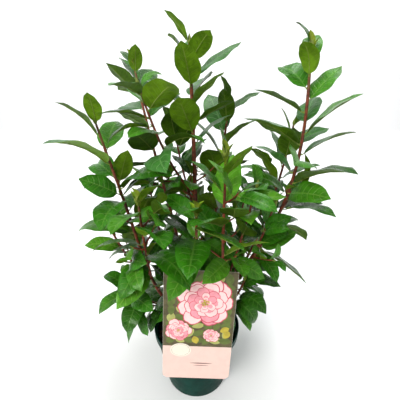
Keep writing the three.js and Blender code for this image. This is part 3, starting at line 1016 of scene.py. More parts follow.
@dataclass(frozen=True)
class LeafFinish:
    """Leaf tissue: a plain tint of its own, with faint veins and a waxy or a matt face."""

    name: str
    tint: str
    vein_tint: str
    roughness: float
    vein_share: float
    coat: float

    def made(self, effects: Effects) -> bpy.types.Material:
        """Makes the material.

        Args:
            effects: The shared node groups.

        Returns:
            The material.
        """
        finish = Finish(self.name, srgb(self.tint), self.roughness)
        graph = finish.graph
        veins = effects.leaf_veins.placed(graph, {"Map": finish.own_map}).outputs
        clouds = effects.mottle.placed(
            graph,
            {"Where": finish.where, "Scale": 85.0, "Tone": srgb(self.tint),
             "Other": tuple(c * 0.68 for c in srgb(self.tint)[:3]) + (1.0,)},
        )
        marked = graph.math("MULTIPLY", graph.math("MAXIMUM", veins["Veins"], veins["Middle"]), self.vein_share)
        finish.feed("Base Color", graph.mixed(marked, clouds.outputs["Colour"], srgb(self.vein_tint)))
        height = graph.math("SUBTRACT", graph.math("MULTIPLY", veins["Net"], -0.25), veins["Veins"])
        bump = graph.add("ShaderNodeBump", {"Strength": 0.7, "Distance": 0.0007, "Height": height})
        finish.feed("Normal", bump.outputs[0])
        gloss = graph.ranged(graph.noise(finish.where, 90.0), 0.3, 0.7, self.roughness, self.roughness + 0.08)
        finish.feed("Roughness", gloss)
        finish.plain(Coat_Weight=self.coat, Coat_Roughness=0.14, Specular_IOR_Level=0.26)
        finish.shader.inputs["Specular Tint"].default_value = srgb(WAX_TINT)
        return finish.material


class Tissue(Enum):
    """The leaf tints, above, beneath and on young growth. Some upper tints are also dealt by place to paint light:
    painted shade on low and inner leaves, painted light on front leaves, and a pale bluish painted sheen on the top
    leaves.
    """

    # Darker green: a tone that varies at random, and painted shade where it is dealt to low and inner leaves.
    DARKER_AND_SHADED = LeafFinish("leaf_darker_and_shaded", "#265a0c", "#6c9c46", 0.25, 0.34, 0.10)
    MIDDLE = LeafFinish("leaf_middle", "#31720f", "#78aa48", 0.25, 0.36, 0.10)
    # Lighter green: a tone that varies at random, and painted light where it is dealt to front leaves.
    PALER_AND_LIT = LeafFinish("leaf_paler_and_lit", "#407f17", "#84b44e", 0.26, 0.36, 0.10)
    # Pale bluish green, dealt only to the top leaves: a painted sheen on their upper faces.
    PAINTED_SHEEN = LeafFinish("leaf_painted_sheen", "#38702a", "#7cae66", 0.28, 0.34, 0.14)
    # Bright green, dealt only to front leaves: painted light.
    PAINTED_LIGHT = LeafFinish("leaf_painted_light", "#549420", "#98c456", 0.26, 0.36, 0.10)
    YOUNG = LeafFinish("leaf_young", "#8db42c", "#a9b850", 0.28, 0.25, 0.15)
    BENEATH = LeafFinish("leaf_beneath", "#648a14", "#8ea83c", 0.46, 0.20, 0.0)
    BENEATH_DARK = LeafFinish("leaf_beneath_dark", "#4a6c10", "#789236", 0.48, 0.20, 0.0)
    BENEATH_YOUNG = LeafFinish("leaf_beneath_young", "#84952a", "#a2ad4c", 0.46, 0.25, 0.0)


@dataclass(frozen=True)
class BarkFinish:
    """Smooth young bark, flecked with pale pores and darker in soft clouds."""

    name: str
    tone: str
    shade: str
    pore: str

    def made(self, effects: Effects) -> bpy.types.Material:
        """Makes the material.

        Args:
            effects: The shared node groups.

        Returns:
            The material.
        """
        finish = Finish(self.name, srgb(self.tone), 0.62)
        graph = finish.graph
        where = finish.where
        clouds = effects.mottle.placed(
            graph, {"Where": where, "Scale": 160.0, "Tone": srgb(self.tone), "Other": srgb(self.shade)}
        )
        drawn_out = graph.add("ShaderNodeMapping", {"Vector": where, "Scale": (1.0, 1.0, 0.35)}).outputs[0]
        cells = graph.add("ShaderNodeTexVoronoi", {"Vector": drawn_out, "Scale": 520.0}).outputs["Distance"]
        pores = graph.math("MULTIPLY", graph.ranged(cells, 0.2, 0.1), 0.5)
        finish.feed("Base Color", graph.mixed(pores, clouds.outputs["Colour"], srgb(self.pore)))
        grain = effects.relief.placed(
            graph, {"Where": drawn_out, "Scale": 1300.0, "Strength": 0.5, "Depth": 0.0004, "Smooth": 0.5, "Rough": 0.8}
        )
        finish.feed("Normal", grain.outputs["Normal"])
        finish.feed("Roughness", grain.outputs["Roughness"])
        return finish.material


@dataclass(frozen=True)
class MouldedFinish:
    """Moulded plastic with a satin skin, a little dusty, and splashed with soil near the ground."""

    name: str
    tone: str
    shade: str
    dirt: str

    def made(self, effects: Effects) -> bpy.types.Material:
        """Makes the material.

        Args:
            effects: The shared node groups.

        Returns:
            The material.
        """
        finish = Finish(self.name, srgb(self.tone), 0.38)
        graph = finish.graph
        where = finish.where
        clouds = effects.mottle.placed(
            graph, {"Where": where, "Scale": 24.0, "Tone": srgb(self.tone), "Other": srgb(self.shade)}
        )
        soiled = effects.soiling.placed(
            graph,
            {"Where": where, "Colour": clouds.outputs["Colour"], "Dirt": srgb(self.dirt), "Fades at": 0.05,
             "Amount": 0.35},
        )
        finish.feed("Base Color", soiled.outputs["Colour"])
        grain = effects.relief.placed(
            graph, {"Where": where, "Scale": 1500.0, "Strength": 0.12, "Depth": 0.0001, "Smooth": 0.3, "Rough": 0.46}
        )
        finish.feed("Normal", grain.outputs["Normal"])
        finish.feed("Roughness", grain.outputs["Roughness"])
        finish.plain(Specular_IOR_Level=0.06, IOR=1.35)
        return finish.material


@dataclass(frozen=True)
class CompostFinish:
    """Damp fibrous compost: near black with brown crumbs."""

    name: str
    tone: str
    shade: str

    def made(self, effects: Effects) -> bpy.types.Material:
        """Makes the material.

        Args:
            effects: The shared node groups.

        Returns:
            The material.
        """
        finish = Finish(self.name, srgb(self.tone), 0.9)
        graph = finish.graph
        where = finish.where
        clouds = effects.mottle.placed(
            graph, {"Where": where, "Scale": 330.0, "Tone": srgb(self.tone), "Other": srgb(self.shade)}
        )
        finish.feed("Base Color", clouds.outputs["Colour"])
        grain = effects.relief.placed(
            graph, {"Where": where, "Scale": 1100.0, "Strength": 0.9, "Depth": 0.001, "Smooth": 0.75, "Rough": 1.0}
        )
        finish.feed("Normal", grain.outputs["Normal"])
        finish.feed("Roughness", grain.outputs["Roughness"])
        return finish.material


@dataclass(frozen=True)
class PrintFinish:
    """Printed card with a satin coat, the ink faintly uneven."""

    name: str
    tone: str
    drift: float = 0.9

    def made(self, effects: Effects) -> bpy.types.Material:
        """Makes the material.

        Args:
            effects: The shared node groups.

        Returns:
            The material.
        """
        tone = srgb(self.tone)
        finish = Finish(self.name, tone, 0.35)
        other = tuple(c * self.drift for c in tone[:3]) + (1.0,)
        clouds = effects.mottle.placed(
            finish.graph, {"Where": finish.where, "Scale": 95.0, "Tone": tone, "Other": other}
        )
        finish.feed("Base Color", clouds.outputs["Colour"])
        grain = effects.relief.placed(
            finish.graph,
            {"Where": finish.where, "Scale": 2400.0, "Strength": 0.08, "Depth": 0.0001, "Smooth": 0.4, "Rough": 0.52},
        )
        finish.feed("Normal", grain.outputs["Normal"])
        finish.feed("Roughness", grain.outputs["Roughness"])
        finish.plain(Specular_IOR_Level=0.25)
        return finish.material


class Finishes(Enum):
    """The finishes of everything but the leaves."""

    BARK = BarkFinish("bark", "#7c3413", "#4a1e0b", "#94623a")
    YOUNG_BARK = BarkFinish("young_bark", "#6e4a22", "#57301b", "#8d8a4c")
    STALK = BarkFinish("leaf_stalk", "#7d9038", "#66782a", "#94a050")
    BUD_SCALE = BarkFinish("bud_scale", "#77862e", "#5c6a22", "#909a50")
    POT = MouldedFinish("moulded_green", "#0d3a31", "#0a2e27", "#3a3024")
    COMPOST = CompostFinish("compost", "#2b1c13", "#150d09")
    CHIPS = CompostFinish("bark_chips", "#5a3a22", "#33200f")
    CARD_STOCK = PrintFinish("card_stock", "#efe9dd", 0.96)
    CARD_PINK = PrintFinish("print_pink", "#e3c0b5", 0.96)
    CARD_GROUND = PrintFinish("print_dark", "#5a5236", 0.6)
    CARD_LEAF = PrintFinish("print_leaf", "#5c6b30", 0.75)
    CARD_LEAF_PALE = PrintFinish("print_pale_leaf", "#a5a860", 0.8)
    CARD_PETAL = PrintFinish("print_petal", "#e2929c", 0.85)
    CARD_PALE = PrintFinish("print_pale_petal", "#efc5c3", 0.9)
    CARD_HEART = PrintFinish("print_petal_heart", "#c4455a", 0.8)
    CARD_YELLOW = PrintFinish("print_yellow", "#b5a43a", 0.75)
    CARD_CREAM = PrintFinish("print_cream", "#e0d8c8", 0.97)
    CARD_LINE = PrintFinish("print_brown_line", "#6d5046", 0.9)


class Dresser:
    """Makes each finish the first time that it is asked for."""

    def __init__(self) -> None:
        """Makes the shared effects."""
        self.effects = Effects()
        self.made: dict[str, bpy.types.Material] = {}

    def __call__(self, finish: Finishes | Tissue) -> bpy.types.Material:
        """The material of a finish."""
        if finish.value.name not in self.made:
            self.made[finish.value.name] = finish.value.made(self.effects)
        return self.made[finish.value.name]


# ------------------------------------------------------------------------------------------ pot and compost


def all_faces_out(piece: bpy.types.Object) -> None:
    """Merges doubles and turns every face of an object outwards.

    Args:
        piece: The piece, which is changed in place.
    """
    make_active(piece)
    bpy.ops.object.mode_set(mode="EDIT")
    bpy.ops.mesh.select_all(action="SELECT")
    bpy.ops.mesh.remove_doubles(threshold=1e-6)
    bpy.ops.mesh.normals_make_consistent(inside=False)
    bpy.ops.object.mode_set(mode="OBJECT")


def raised(name: str, profile: Sequence[tuple[float, float]], sides: int) -> bpy.types.Object:
    """A closed round form, pulled up ring by ring from a disc at its foot to a disc at its end.

    Args:
        name: The piece's name.
        profile: Radius and height of each ring in millimetres, in order.
        sides: The number of points round it.

    Returns:
        The new object, at the origin.
    """
    deselect_all()
    radius, height = profile[0]
    bpy.ops.mesh.primitive_circle_add(
        vertices=sides, radius=radius * MM, fill_type="TRIFAN", location=(0, 0, height * MM)
    )
    piece = bpy.context.object
    piece.name = piece.data.name = name
    settle(piece)
    bpy.ops.object.mode_set(mode="EDIT")
    bpy.ops.mesh.select_all(action="SELECT")
    bpy.ops.mesh.region_to_loop()
    for radius_next, height_next in profile[1:]:
        rise = (0, 0, (height_next - height) * MM)
        bpy.ops.mesh.extrude_region_move(TRANSFORM_OT_translate={"value": rise})
        grow = radius_next / radius
        bpy.ops.transform.resize(value=(grow, grow, 1), center_override=(0, 0, height_next * MM))
        radius, height = radius_next, height_next
    bpy.ops.mesh.edge_face_add()
    bpy.ops.mesh.poke()
    bpy.ops.object.mode_set(mode="OBJECT")
    all_faces_out(piece)
    return piece


@dataclass
class NurseryPot:
    """The thin-walled round pot, with its stepped rim, a foot ring and drain holes."""

    height: float = 132
    rim_radius: float = 85
    base_radius: float = 62
    wall: float = 1.8
    floor: float = 2.5
    band: float = 16
    band_step: float = 2
    band_draft: float = 1
    foot_rise: float = 1.6
    foot_width: float = 9
    drain_count: int = 6
    drain_radius: float = 5.5
    drain_circle: float = 44
    sides: int = 128

    def wall_radius(self, z: float) -> float:
        """The outside radius of the wall below the rim band."""
        return self.base_radius + (self.rim_radius - self.band_step - self.base_radius) * z / self.height

    def profile(self) -> list[tuple[float, float]]:
        """The outline from the middle of the foot, up the outside and down the inside to the floor.

        Returns:
            The points, each as far out from the axis and up.
        """
        top, foot, wall = self.height, self.height - self.band, self.wall
        inner_rim = self.rim_radius - wall
        return [
            (self.base_radius - self.foot_width, self.foot_rise),
            (self.base_radius - self.foot_width + 1, 0.3),
            (self.base_radius - self.foot_width + 2, 0.0),
            (self.base_radius - 2.2, 0.0),
            (self.base_radius - 0.8, 0.4),
            (self.wall_radius(1.5), 1.5),
            (self.wall_radius(3.0), 3.0),
            (self.wall_radius(foot / 3), foot / 3),
            (self.wall_radius(2 * foot / 3), 2 * foot / 3),
            (self.wall_radius(foot) - 0.1, foot - 0.8),
            (self.wall_radius(foot) + 0.3, foot - 0.1),
            (self.rim_radius - self.band_draft - 0.8, foot),
            (self.rim_radius - self.band_draft - 0.2, foot + 0.2),
            (self.rim_radius - self.band_draft, foot + 0.8),
            (self.rim_radius - 0.5, top - 4.0),
            (self.rim_radius - 0.1, top - 3.0),
            (self.rim_radius, top - 0.8),
            (self.rim_radius - 0.35, top - 0.1),
            (self.rim_radius - wall / 2, top),
            (inner_rim + 0.3, top - 0.1),
            (inner_rim, top - 0.7),
            (inner_rim - self.band_draft, foot + wall + 0.6),
            (inner_rim - self.band_draft - 0.6, foot + wall),
            (self.wall_radius(foot) - wall + 0.4, foot + wall * 0.6),
            (self.wall_radius(foot) - wall, foot + wall * 0.2),
            (self.wall_radius(foot / 2) - wall, foot / 2),
            (self.wall_radius(self.floor) - wall, self.floor + 0.6),
            (self.wall_radius(self.floor) - wall - 0.8, self.floor + self.foot_rise),
        ]

    def build(self, dress: Dresser) -> list[bpy.types.Object]:
        """Makes the pot.

        Args:
            dress: Gives the finishes.

        Returns:
            The pot alone.
        """
        piece = raised("nursery_pot", self.profile(), self.sides)
        self._drill(piece)
        make_active(piece)
        bpy.ops.object.shade_smooth_by_angle(angle=math.radians(32))
        piece.data.materials.append(dress(Finishes.POT))
        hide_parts("pot")
        return [piece]

    def _drill(self, piece: bpy.types.Object) -> None:
        """Cuts the drain holes through the floor.

        Args:
            piece: The piece, which is changed in place.
        """
        deselect_all()
        cutters = []
        for i in range(self.drain_count):
            turn = 2 * math.pi * (i + 0.5) / self.drain_count
            place = (self.drain_circle * math.cos(turn) * MM, self.drain_circle * math.sin(turn) * MM, 0)
            bpy.ops.mesh.primitive_cylinder_add(
                vertices=24, radius=self.drain_radius * MM, depth=4 * self.floor * MM, location=place
            )
            cutters.append(bpy.context.object)
        make_active(cutters[0])
        for cutter in cutters[1:]:
            cutter.select_set(True)
        bpy.ops.object.join()
        joined = bpy.context.object
        settle(joined)
        drill = piece.modifiers.new("drain_holes", "BOOLEAN")
        drill.operation = "DIFFERENCE"
        drill.object = joined
        apply_modifiers(piece)
        bpy.data.objects.remove(joined)


@dataclass
class Compost:
    """The compost, with its lumpy top, and loose crumbs and bark chips on it."""

    pot: NurseryPot
    crown: float = 118
    edge: float = 114
    lumps: float = 1.6
    rings: int = 46
    sides: int = 144
    crumbs: int = 520
    seed: int = 5

    def inside(self, z: float) -> float:
        """The radius that fills the pot at a height."""
        return self.pot.wall_radius(z) - self.pot.wall - 0.7

    def surface(self, x: Vec, y: Vec) -> Vec:
        """The height of the top over points of the pot's mouth.

        Args:
            x: Across, in millimetres.
            y: From front to back, in millimetres.

        Returns:
            The height of the surface.
        """
        away = np.hypot(x, y) / self.inside(self.edge)
        dome = self.crown - (self.crown - self.edge) * np.clip((away - 0.3) / 0.7, 0, 1) ** 1.4
        flat = np.stack([x, y, np.zeros_like(x)], -1)
        rough = wobble(flat, 17, 3) * 0.55 + wobble(flat, 7, 4) * 0.35 + wobble(flat, 3.4, 6) * 0.22
        fade = np.clip((1 - away) * 9, 0, 1)
        return dome - 0.9 + self.lumps * rough * fade

    def build(self, dress: Dresser) -> list[bpy.types.Object]:
        """Makes the filling, and the crumbs as one piece."""
        return [self._filling(dress), self._crumbs(dress)]

    def _filling(self, dress: Dresser) -> bpy.types.Object:
        """The filling of the pot: a floor, a wall close inside the pot's, and the lumpy top.

        Args:
            dress: Gives the finishes.

        Returns:
            The piece.
        """
        profile = [(self.inside(4) - 4, 4.6), (self.inside(8), 8.0), (self.inside(60), 60.0)]
        profile.append((self.inside(self.edge) - 0.6, self.edge - 1.4))
        steps = self.rings
        top_radius = self.inside(self.edge) - 1.2
        profile += [(top_radius * (1 - i / steps), self.edge) for i in range(steps)]
        piece = raised("compost_filling", profile, self.sides)
        points = np.empty(len(piece.data.vertices) * 3)
        piece.data.vertices.foreach_get("co", points)
        points = points.reshape(-1, 3) / MM
        top = points[:, 2] > self.edge - 1
        points[top, 2] = self.surface(points[top, 0], points[top, 1])
        piece.data.vertices.foreach_set("co", (points * MM).ravel())
        piece.data.update()
        make_active(piece)
        bpy.ops.object.shade_smooth_by_angle(angle=math.radians(50))
        piece.data.materials.append(dress(Finishes.COMPOST))
        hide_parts("compost")
        return piece

    def _crumbs(self, dress: Dresser) -> bpy.types.Object:
        """Loose crumbs and flat bark chips, half sunk in the top.

        Args:
            dress: Gives the finishes.

        Returns:
            The piece.
        """
        draw = np.random.default_rng(self.seed)
        deselect_all()
        bpy.ops.mesh.primitive_ico_sphere_add(subdivisions=1, radius=1)
        pattern = bpy.context.object
        corners = np.array([tuple(vertex.co) for vertex in pattern.data.vertices])
        triangles = np.array([tuple(face.vertices) for face in pattern.data.polygons])
        faces = np.hstack([triangles, triangles[:, 2:]])
        bpy.data.objects.remove(pattern)
        stack = MeshStack()
        for _ in range(self.crumbs):
            chip = draw.random() < 0.35
            away = (self.inside(self.edge) - 6) * math.sqrt(draw.random())
            turn = draw.uniform(0, 2 * math.pi)
            x, y = away * math.cos(turn), away * math.sin(turn)
            size = draw.uniform(1.4, 3.6) if chip else draw.uniform(0.7, 2.1)
            stretch = np.array([size * 1.5, size * 0.9, size * 0.4]) if chip else np.full(3, size)
            shape = corners * draw.uniform(0.7, 1.2, (len(corners), 1)) * stretch
            spin, tip = draw.uniform(0, 2 * math.pi), draw.normal(0, 0.25)
            shape = turned_rows(turned_rows(shape, 0, tip), 2, spin)
            z = float(self.surface(np.array([x]), np.array([y]))[0])
            stack.add(shape + np.array([x, y, z + stretch[2] * 0.35]), faces, 1 if chip else 0)
        piece = stack.piece("compost_crumbs", [dress(Finishes.COMPOST), dress(Finishes.CHIPS)], smooth=False)
        return piece


def turned_rows(rows: Vec, axis: int, angle: float) -> Vec:
    """Rows of points turned about one of the main axes."""
    first, second = [(1, 2), (2, 0), (0, 1)][axis]
    made = rows.copy()
    made[:, first] = rows[:, first] * math.cos(angle) - rows[:, second] * math.sin(angle)
    made[:, second] = rows[:, first] * math.sin(angle) + rows[:, second] * math.cos(angle)
    return made


# ------------------------------------------------------------------------------------------ picture card


@dataclass
class PictureCard:
    """The card that hangs on the rim: a stiff sheet with a tongue, and a printed face of thin layers of ink."""

    pot: NurseryPot
    width: float = 117
    height: float = 216
    thick: float = 0.8
    corner: float = 8
    low_edge: float = 90
    lean: float = 3.7
    turn: float = 2.5
    band: float = 70
    tongue_width: float = 24
    tongue_drop: float = 11
    gap: float = 0.3

    def __post_init__(self) -> None:
        """Works out where the card rests and which ways it faces."""
        tilt, turn = math.radians(self.lean), math.radians(self.turn)
        right0, up0 = np.array([1.0, 0, 0]), np.array([0, math.sin(tilt), math.cos(tilt)])
        self.out = np.array([0, -math.cos(tilt), math.sin(tilt)])
        self.right = right0 * math.cos(turn) - up0 * math.sin(turn)
        self.up = right0 * math.sin(turn) + up0 * math.cos(turn)
        self.rest = np.array([0, -self.pot.rim_radius - self.gap / math.cos(tilt), self.pot.height])
        self.foot = self.low_edge - self.pot.height

    def clear(self, points: Vec, room: float) -> bool:
        """True where points keep off the card by some room."""
        away = points - self.rest
        beside = np.abs(away @ self.right) > self.width / 2 + room
        height = away @ self.up
        beyond = (height < self.foot - room) | (height > self.foot + self.height + room)
        return bool((beside | beyond | (np.abs(away @ self.out) > room)).all())

    def uncovered(self, points: Vec, room: float) -> bool:
        """True where no point hangs before the card's face, seen from the front and a little above."""
        away = points - self.rest
        before = away @ self.out > -room
        beside = np.abs(away @ self.right) < self.width / 2 + room
        level = away @ self.up
        return not (before & beside & (level < self.foot + self.height + room)).any()

    def in_place(self, flat: Vec) -> Vec:
        """Puts points of the flat card in place: across from its middle, up from its lower edge, out of its face."""
        height = flat[:, 1:2] + self.foot
        return self.rest + flat[:, :1] * self.right + height * self.up + flat[:, 2:3] * self.out

    def build(self, dress: Dresser) -> list[bpy.types.Object]:
        """Makes the sheet with its tongue, and the print on it.

        Args:
            dress: Gives the finishes.

        Returns:
            The pieces.
        """
        sheet = self._sheet(dress)
        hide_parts("picture_card")
        printed = self._print(dress)
        return [sheet, printed]

    def _sheet(self, dress: Dresser) -> bpy.types.Object:
        """The sheet, its lower corners rounded, and the tongue hooked over the rim behind it.

        Args:
            dress: Gives the finishes.

        Returns:
            The piece.
        """
        deselect_all()
        bpy.ops.mesh.primitive_grid_add(x_subdivisions=24, y_subdivisions=44, size=1)
        sheet = bpy.context.object
        sheet.name = sheet.data.name = "card_sheet"
        for vertex in sheet.data.vertices:
            x, y = vertex.co.x * self.width, (vertex.co.y + 0.5) * self.height
            vertex.co = (self._rounded(x, y), y, 0)
        make_active(sheet)
        bpy.ops.object.mode_set(mode="EDIT")
        bpy.ops.mesh.select_all(action="SELECT")
        bpy.ops.mesh.extrude_region_move(TRANSFORM_OT_translate={"value": (0, 0, self.thick)})
        bpy.ops.object.mode_set(mode="OBJECT")
        points = np.array([tuple(vertex.co) for vertex in sheet.data.vertices])
        sheet.data.vertices.foreach_set("co", (self.in_place(points) * MM).ravel())
        all_faces_out(sheet)
        tongue = self._tongue()
        make_active(sheet)
        tongue.select_set(True)
        bpy.ops.object.join()
        bpy.ops.object.shade_smooth_by_angle(angle=math.radians(40))
        sheet.data.materials.append(dress(Finishes.CARD_STOCK))
        return sheet

    def _rounded(self, x: float, y: float) -> float:
        """The place across at which a point of the sheet lies, drawn in where the lower corners are round."""
        if y >= self.corner:
            return x
        inset = self.corner - math.sqrt(max(0.0, self.corner ** 2 - (self.corner - y) ** 2))
        half = self.width / 2
        return x * (half - inset) / half

    def _tongue(self) -> bpy.types.Object:
        """The strip that runs back over the rim and down inside it.

        Returns:
            The strip.
        """
        inside = self.pot.rim_radius - self.pot.wall - self.pot.band_draft
        inner = self.gap - math.sqrt(inside ** 2 - (self.tongue_width / 2) ** 2)
        over, low = self.pot.height + self.gap, self.pot.height - self.tongue_drop
        back, thick = float(self.rest[1]) - self.thick / 2, self.thick
        outline = [
            (back, over), (inner, over), (inner, low), (inner + thick, low), (inner + thick, over),
            (inner + 0.9 * thick, over + 0.5 * thick), (inner + 0.5 * thick, over + 0.9 * thick),
            (inner, over + thick), (back, over + thick),
        ]
        deselect_all()
        bpy.ops.mesh.primitive_circle_add(vertices=len(outline), radius=1, fill_type="NGON")
        tongue = bpy.context.object
        for vertex, (y, z) in zip(tongue.data.vertices, outline):
            vertex.co = (-self.tongue_width / 2 * MM, y * MM, z * MM)
        bpy.ops.object.mode_set(mode="EDIT")
        bpy.ops.mesh.select_all(action="SELECT")
        bpy.ops.mesh.extrude_region_move(TRANSFORM_OT_translate={"value": (self.tongue_width * MM, 0, 0)})
        bpy.ops.object.mode_set(mode="OBJECT")
        all_faces_out(tongue)
        return tongue

    def _print(self, dress: Dresser) -> bpy.types.Object:
        """The printed face: a dark field of leaves, blossoms and buds, over a plain pink band with a cream oval.

        Args:
            dress: Gives the finishes.

        Returns:
            The piece.
        """
        inks = [Finishes.CARD_PINK, Finishes.CARD_GROUND, Finishes.CARD_LEAF, Finishes.CARD_LEAF_PALE,
                Finishes.CARD_PETAL, Finishes.CARD_PALE, Finishes.CARD_HEART, Finishes.CARD_YELLOW,
                Finishes.CARD_CREAM, Finishes.CARD_LINE]
        ink = {finish: number for number, finish in enumerate(inks)}
        stack = MeshStack()
        self._panel(stack, 0, self.band, 0.05, ink[Finishes.CARD_PINK])
        self._panel(stack, self.band, self.height, 0.05, ink[Finishes.CARD_GROUND])
        draw = np.random.default_rng(11)
        columns, rows, margin = 7, 9, 13
        for number in range(columns * rows):
            x = (self.width / 2 - margin) * (2 * (number % columns) / (columns - 1) - 1)
            y = self.band + margin + (self.height - self.band - 2 * margin) * (number // columns) / (rows - 1)
            leaf = self._oval(draw.uniform(9, 12), draw.uniform(5, 8), 0.0, 20, pointed=True)
            tint = ink[Finishes.CARD_LEAF_PALE if number % 4 == 1 else Finishes.CARD_LEAF]
            self._slab(stack, turned_rows(leaf, 2, draw.uniform(0, 6.3)), (x, y), 0.06 + number * 0.002, tint)
        for x, y, turn in ((-44, 196, 1.2), (-34, 182, 2.0), (44, 106, 0.5), (-4, 84, 1.9), (48, 96, 1.1)):
            bud = self._oval(8.0, 6.0, 0, 18, pointed=True)
            self._slab(stack, turned_rows(bud, 2, turn), (x, y), 0.2, ink[Finishes.CARD_YELLOW])
        self._blossom(stack, (9, 158), 46, ink, draw)
        self._blossom(stack, (-33, 103), 22, ink, draw)
        self._blossom(stack, (22, 94), 14, ink, draw)
        for grown, level, mark in ((1.0, 0.5, Finishes.CARD_CREAM), (0.86, 0.505, Finishes.CARD_LINE),
                                   (0.84, 0.51, Finishes.CARD_CREAM)):
            oval = self._oval(18 * grown, 14 * grown, 0, 48)
            self._slab(stack, oval, (-28, self.band - 8), level, ink[mark])
        for y, half, thick in ((34, 20, 1.0), (29, 14, 0.6)):
            line = self._oval(half, thick, 0, 24, pointed=True)
            self._slab(stack, line, (8, y), 0.12, ink[Finishes.CARD_LINE])
        return stack.piece("card_print", [dress(finish) for finish in inks], smooth=False)

    def _blossom(
        self, stack: MeshStack, place: tuple[float, float], radius: float, ink: dict[Finishes, int],
        draw: np.random.Generator,
    ) -> None:
        """Adds an open blossom: rings of uneven petals, each with a deeper rim behind it, round its stamens.

        Args:
            stack: Takes its points and faces.
            place: Its middle on the card.
            radius: Its radius.
            ink: The number of each ink.
            draw: Gives the petals' unevenness.
        """
        rings = ((1.0, 9), (0.8, 8), (0.6, 7), (0.42, 6), (0.26, 4))
        for ring, (reach, count) in enumerate(rings):
            for k in range(count):
                size = radius * reach * draw.uniform(0.9, 1.08)
                turn = 2 * math.pi * (k + 0.5 * ring + draw.uniform(-0.2, 0.2)) / count
                wide = draw.uniform(0.30, 0.38)
                sunlit = Finishes.CARD_PALE if draw.uniform() < 0.65 else Finishes.CARD_PETAL
                for layer, (mark, grown) in enumerate(((Finishes.CARD_HEART, 1.1), (sunlit, 1.0),
                                                       (Finishes.CARD_PETAL, 0.6))):
                    petal = self._oval(0.36 * size * grown, wide * size * grown, 0.05 * size, 22)
                    petal[:, 0] += 0.64 * size - (0.12 * size if layer == 2 else 0)
                    level = 0.2 + 0.05 * ring + 0.0045 * k + 0.0013 * layer
                    self._slab(stack, turned_rows(petal, 2, turn), place, level, ink[mark])
        for k in range(9):
            spot = self._oval(0.035 * radius, 0.035 * radius, 0, 10)
            away = 0.035 * radius * math.sqrt(k) * 1.3
            spot_place = (place[0] + away * math.cos(2.4 * k), place[1] + away * math.sin(2.4 * k))
            self._slab(stack, spot, spot_place, 0.48, ink[Finishes.CARD_YELLOW])

    @staticmethod
    def _oval(along: float, across: float, notch: float, count: int, pointed: bool = False) -> Vec:
        """The outline of a leaf or a petal, round its own middle.

        Args:
            along: Half its length.
            across: Half its width.
            notch: The depth of the notch in its far end.
            count: The number of points.
            pointed: Whether it ends in points, as a leaf does.

        Returns:
            One row for each point, anticlockwise.
        """
        turn = 2 * math.pi * np.arange(count) / count
        x, y = along * np.cos(turn), across * np.sin(turn)
        if pointed:
            y = across * np.sign(np.sin(turn)) * np.abs(np.sin(turn)) ** 1.7
        beside = (turn + math.pi) % (2 * math.pi) - math.pi
        x = x - notch * np.exp(-((beside / 0.3) ** 2))
        return np.stack([x, y, np.zeros(count)], -1)

    def _slab(self, stack: MeshStack, outline: Vec, place: tuple[float, float], level: float, mark: int) -> None:
        """Adds a thin shape of ink round a middle point, up to a level over the sheet in millimetres.

        Args:
            stack: Takes its points and faces.
            outline: Its outline, round its own middle.
            place: Its middle on the card.
            level: How high it stands over the sheet, in millimetres.
            mark: The number of its ink.
        """
        count = len(outline)
        ring = outline + np.array([place[0], place[1], self.thick])
        middle = np.array([[place[0], place[1], self.thick]])
        low, high = 0.01, level
        rows = np.vstack([ring + [0, 0, low], ring + [0, 0, high], middle + [0, 0, low], middle + [0, 0, high]])
        here = np.arange(count)
        following = (here + 1) % count
        walls = np.stack([here, following, count + following, count + here], -1)
        under = np.stack([following, here, np.full(count, 2 * count), np.full(count, 2 * count)], -1)
        over = np.stack([count + here, count + following, *[np.full(count, 2 * count + 1)] * 2], -1)
        stack.add(self.in_place(rows), np.vstack([walls, under, over]), mark)

    def _panel(self, stack: MeshStack, low: float, high: float, level: float, mark: int) -> None:
        """Adds a panel of ink that covers the card from side to side between two heights.

        Args:
            stack: Takes its points and faces.
            low: The height of its lower edge.
            high: The height of its upper edge.
            level: How high it stands over the sheet, in millimetres.
            mark: The number of its ink.
        """
        across, along = 24, max(6, round((high - low) / 5))
        x = np.linspace(-1, 1, across + 1) * (self.width / 2 - 0.2)
        y = np.linspace(low + 0.1, high - 0.1, along + 1)
        grid = np.array([(self._rounded(u, v), v, self.thick) for v in y for u in x])
        rows = np.vstack([grid + [0, 0, 0.01], grid + [0, 0, level]])
        stack.add(self.in_place(rows), box_faces(across, along), mark)


def box_faces(across: int, along: int) -> Vec:
    """The faces of a thin closed panel: a lower grid of points, then an upper one of the same size.

    Args:
        across: The number of steps in a row.
        along: The number of rows less one.

    Returns:
        Rows of four point numbers.
    """
    width, count = across + 1, (across + 1) * (along + 1)
    start = (np.arange(along)[:, None] * width + np.arange(across)).ravel()
    upper = np.stack([start, start + 1, start + 1 + width, start + width], -1) + count
    lower = np.stack([start, start + width, start + 1 + width, start + 1], -1)
    edge = np.concatenate([np.arange(across), np.arange(along) * width + across,
                           count - 1 - np.arange(across), (along - np.arange(along)) * width])
    after = np.roll(edge, -1)
    walls = np.stack([edge, after, after + count, edge + count], -1)
    return np.vstack([upper, lower, walls])


# ------------------------------------------------------------------------------------------ stems


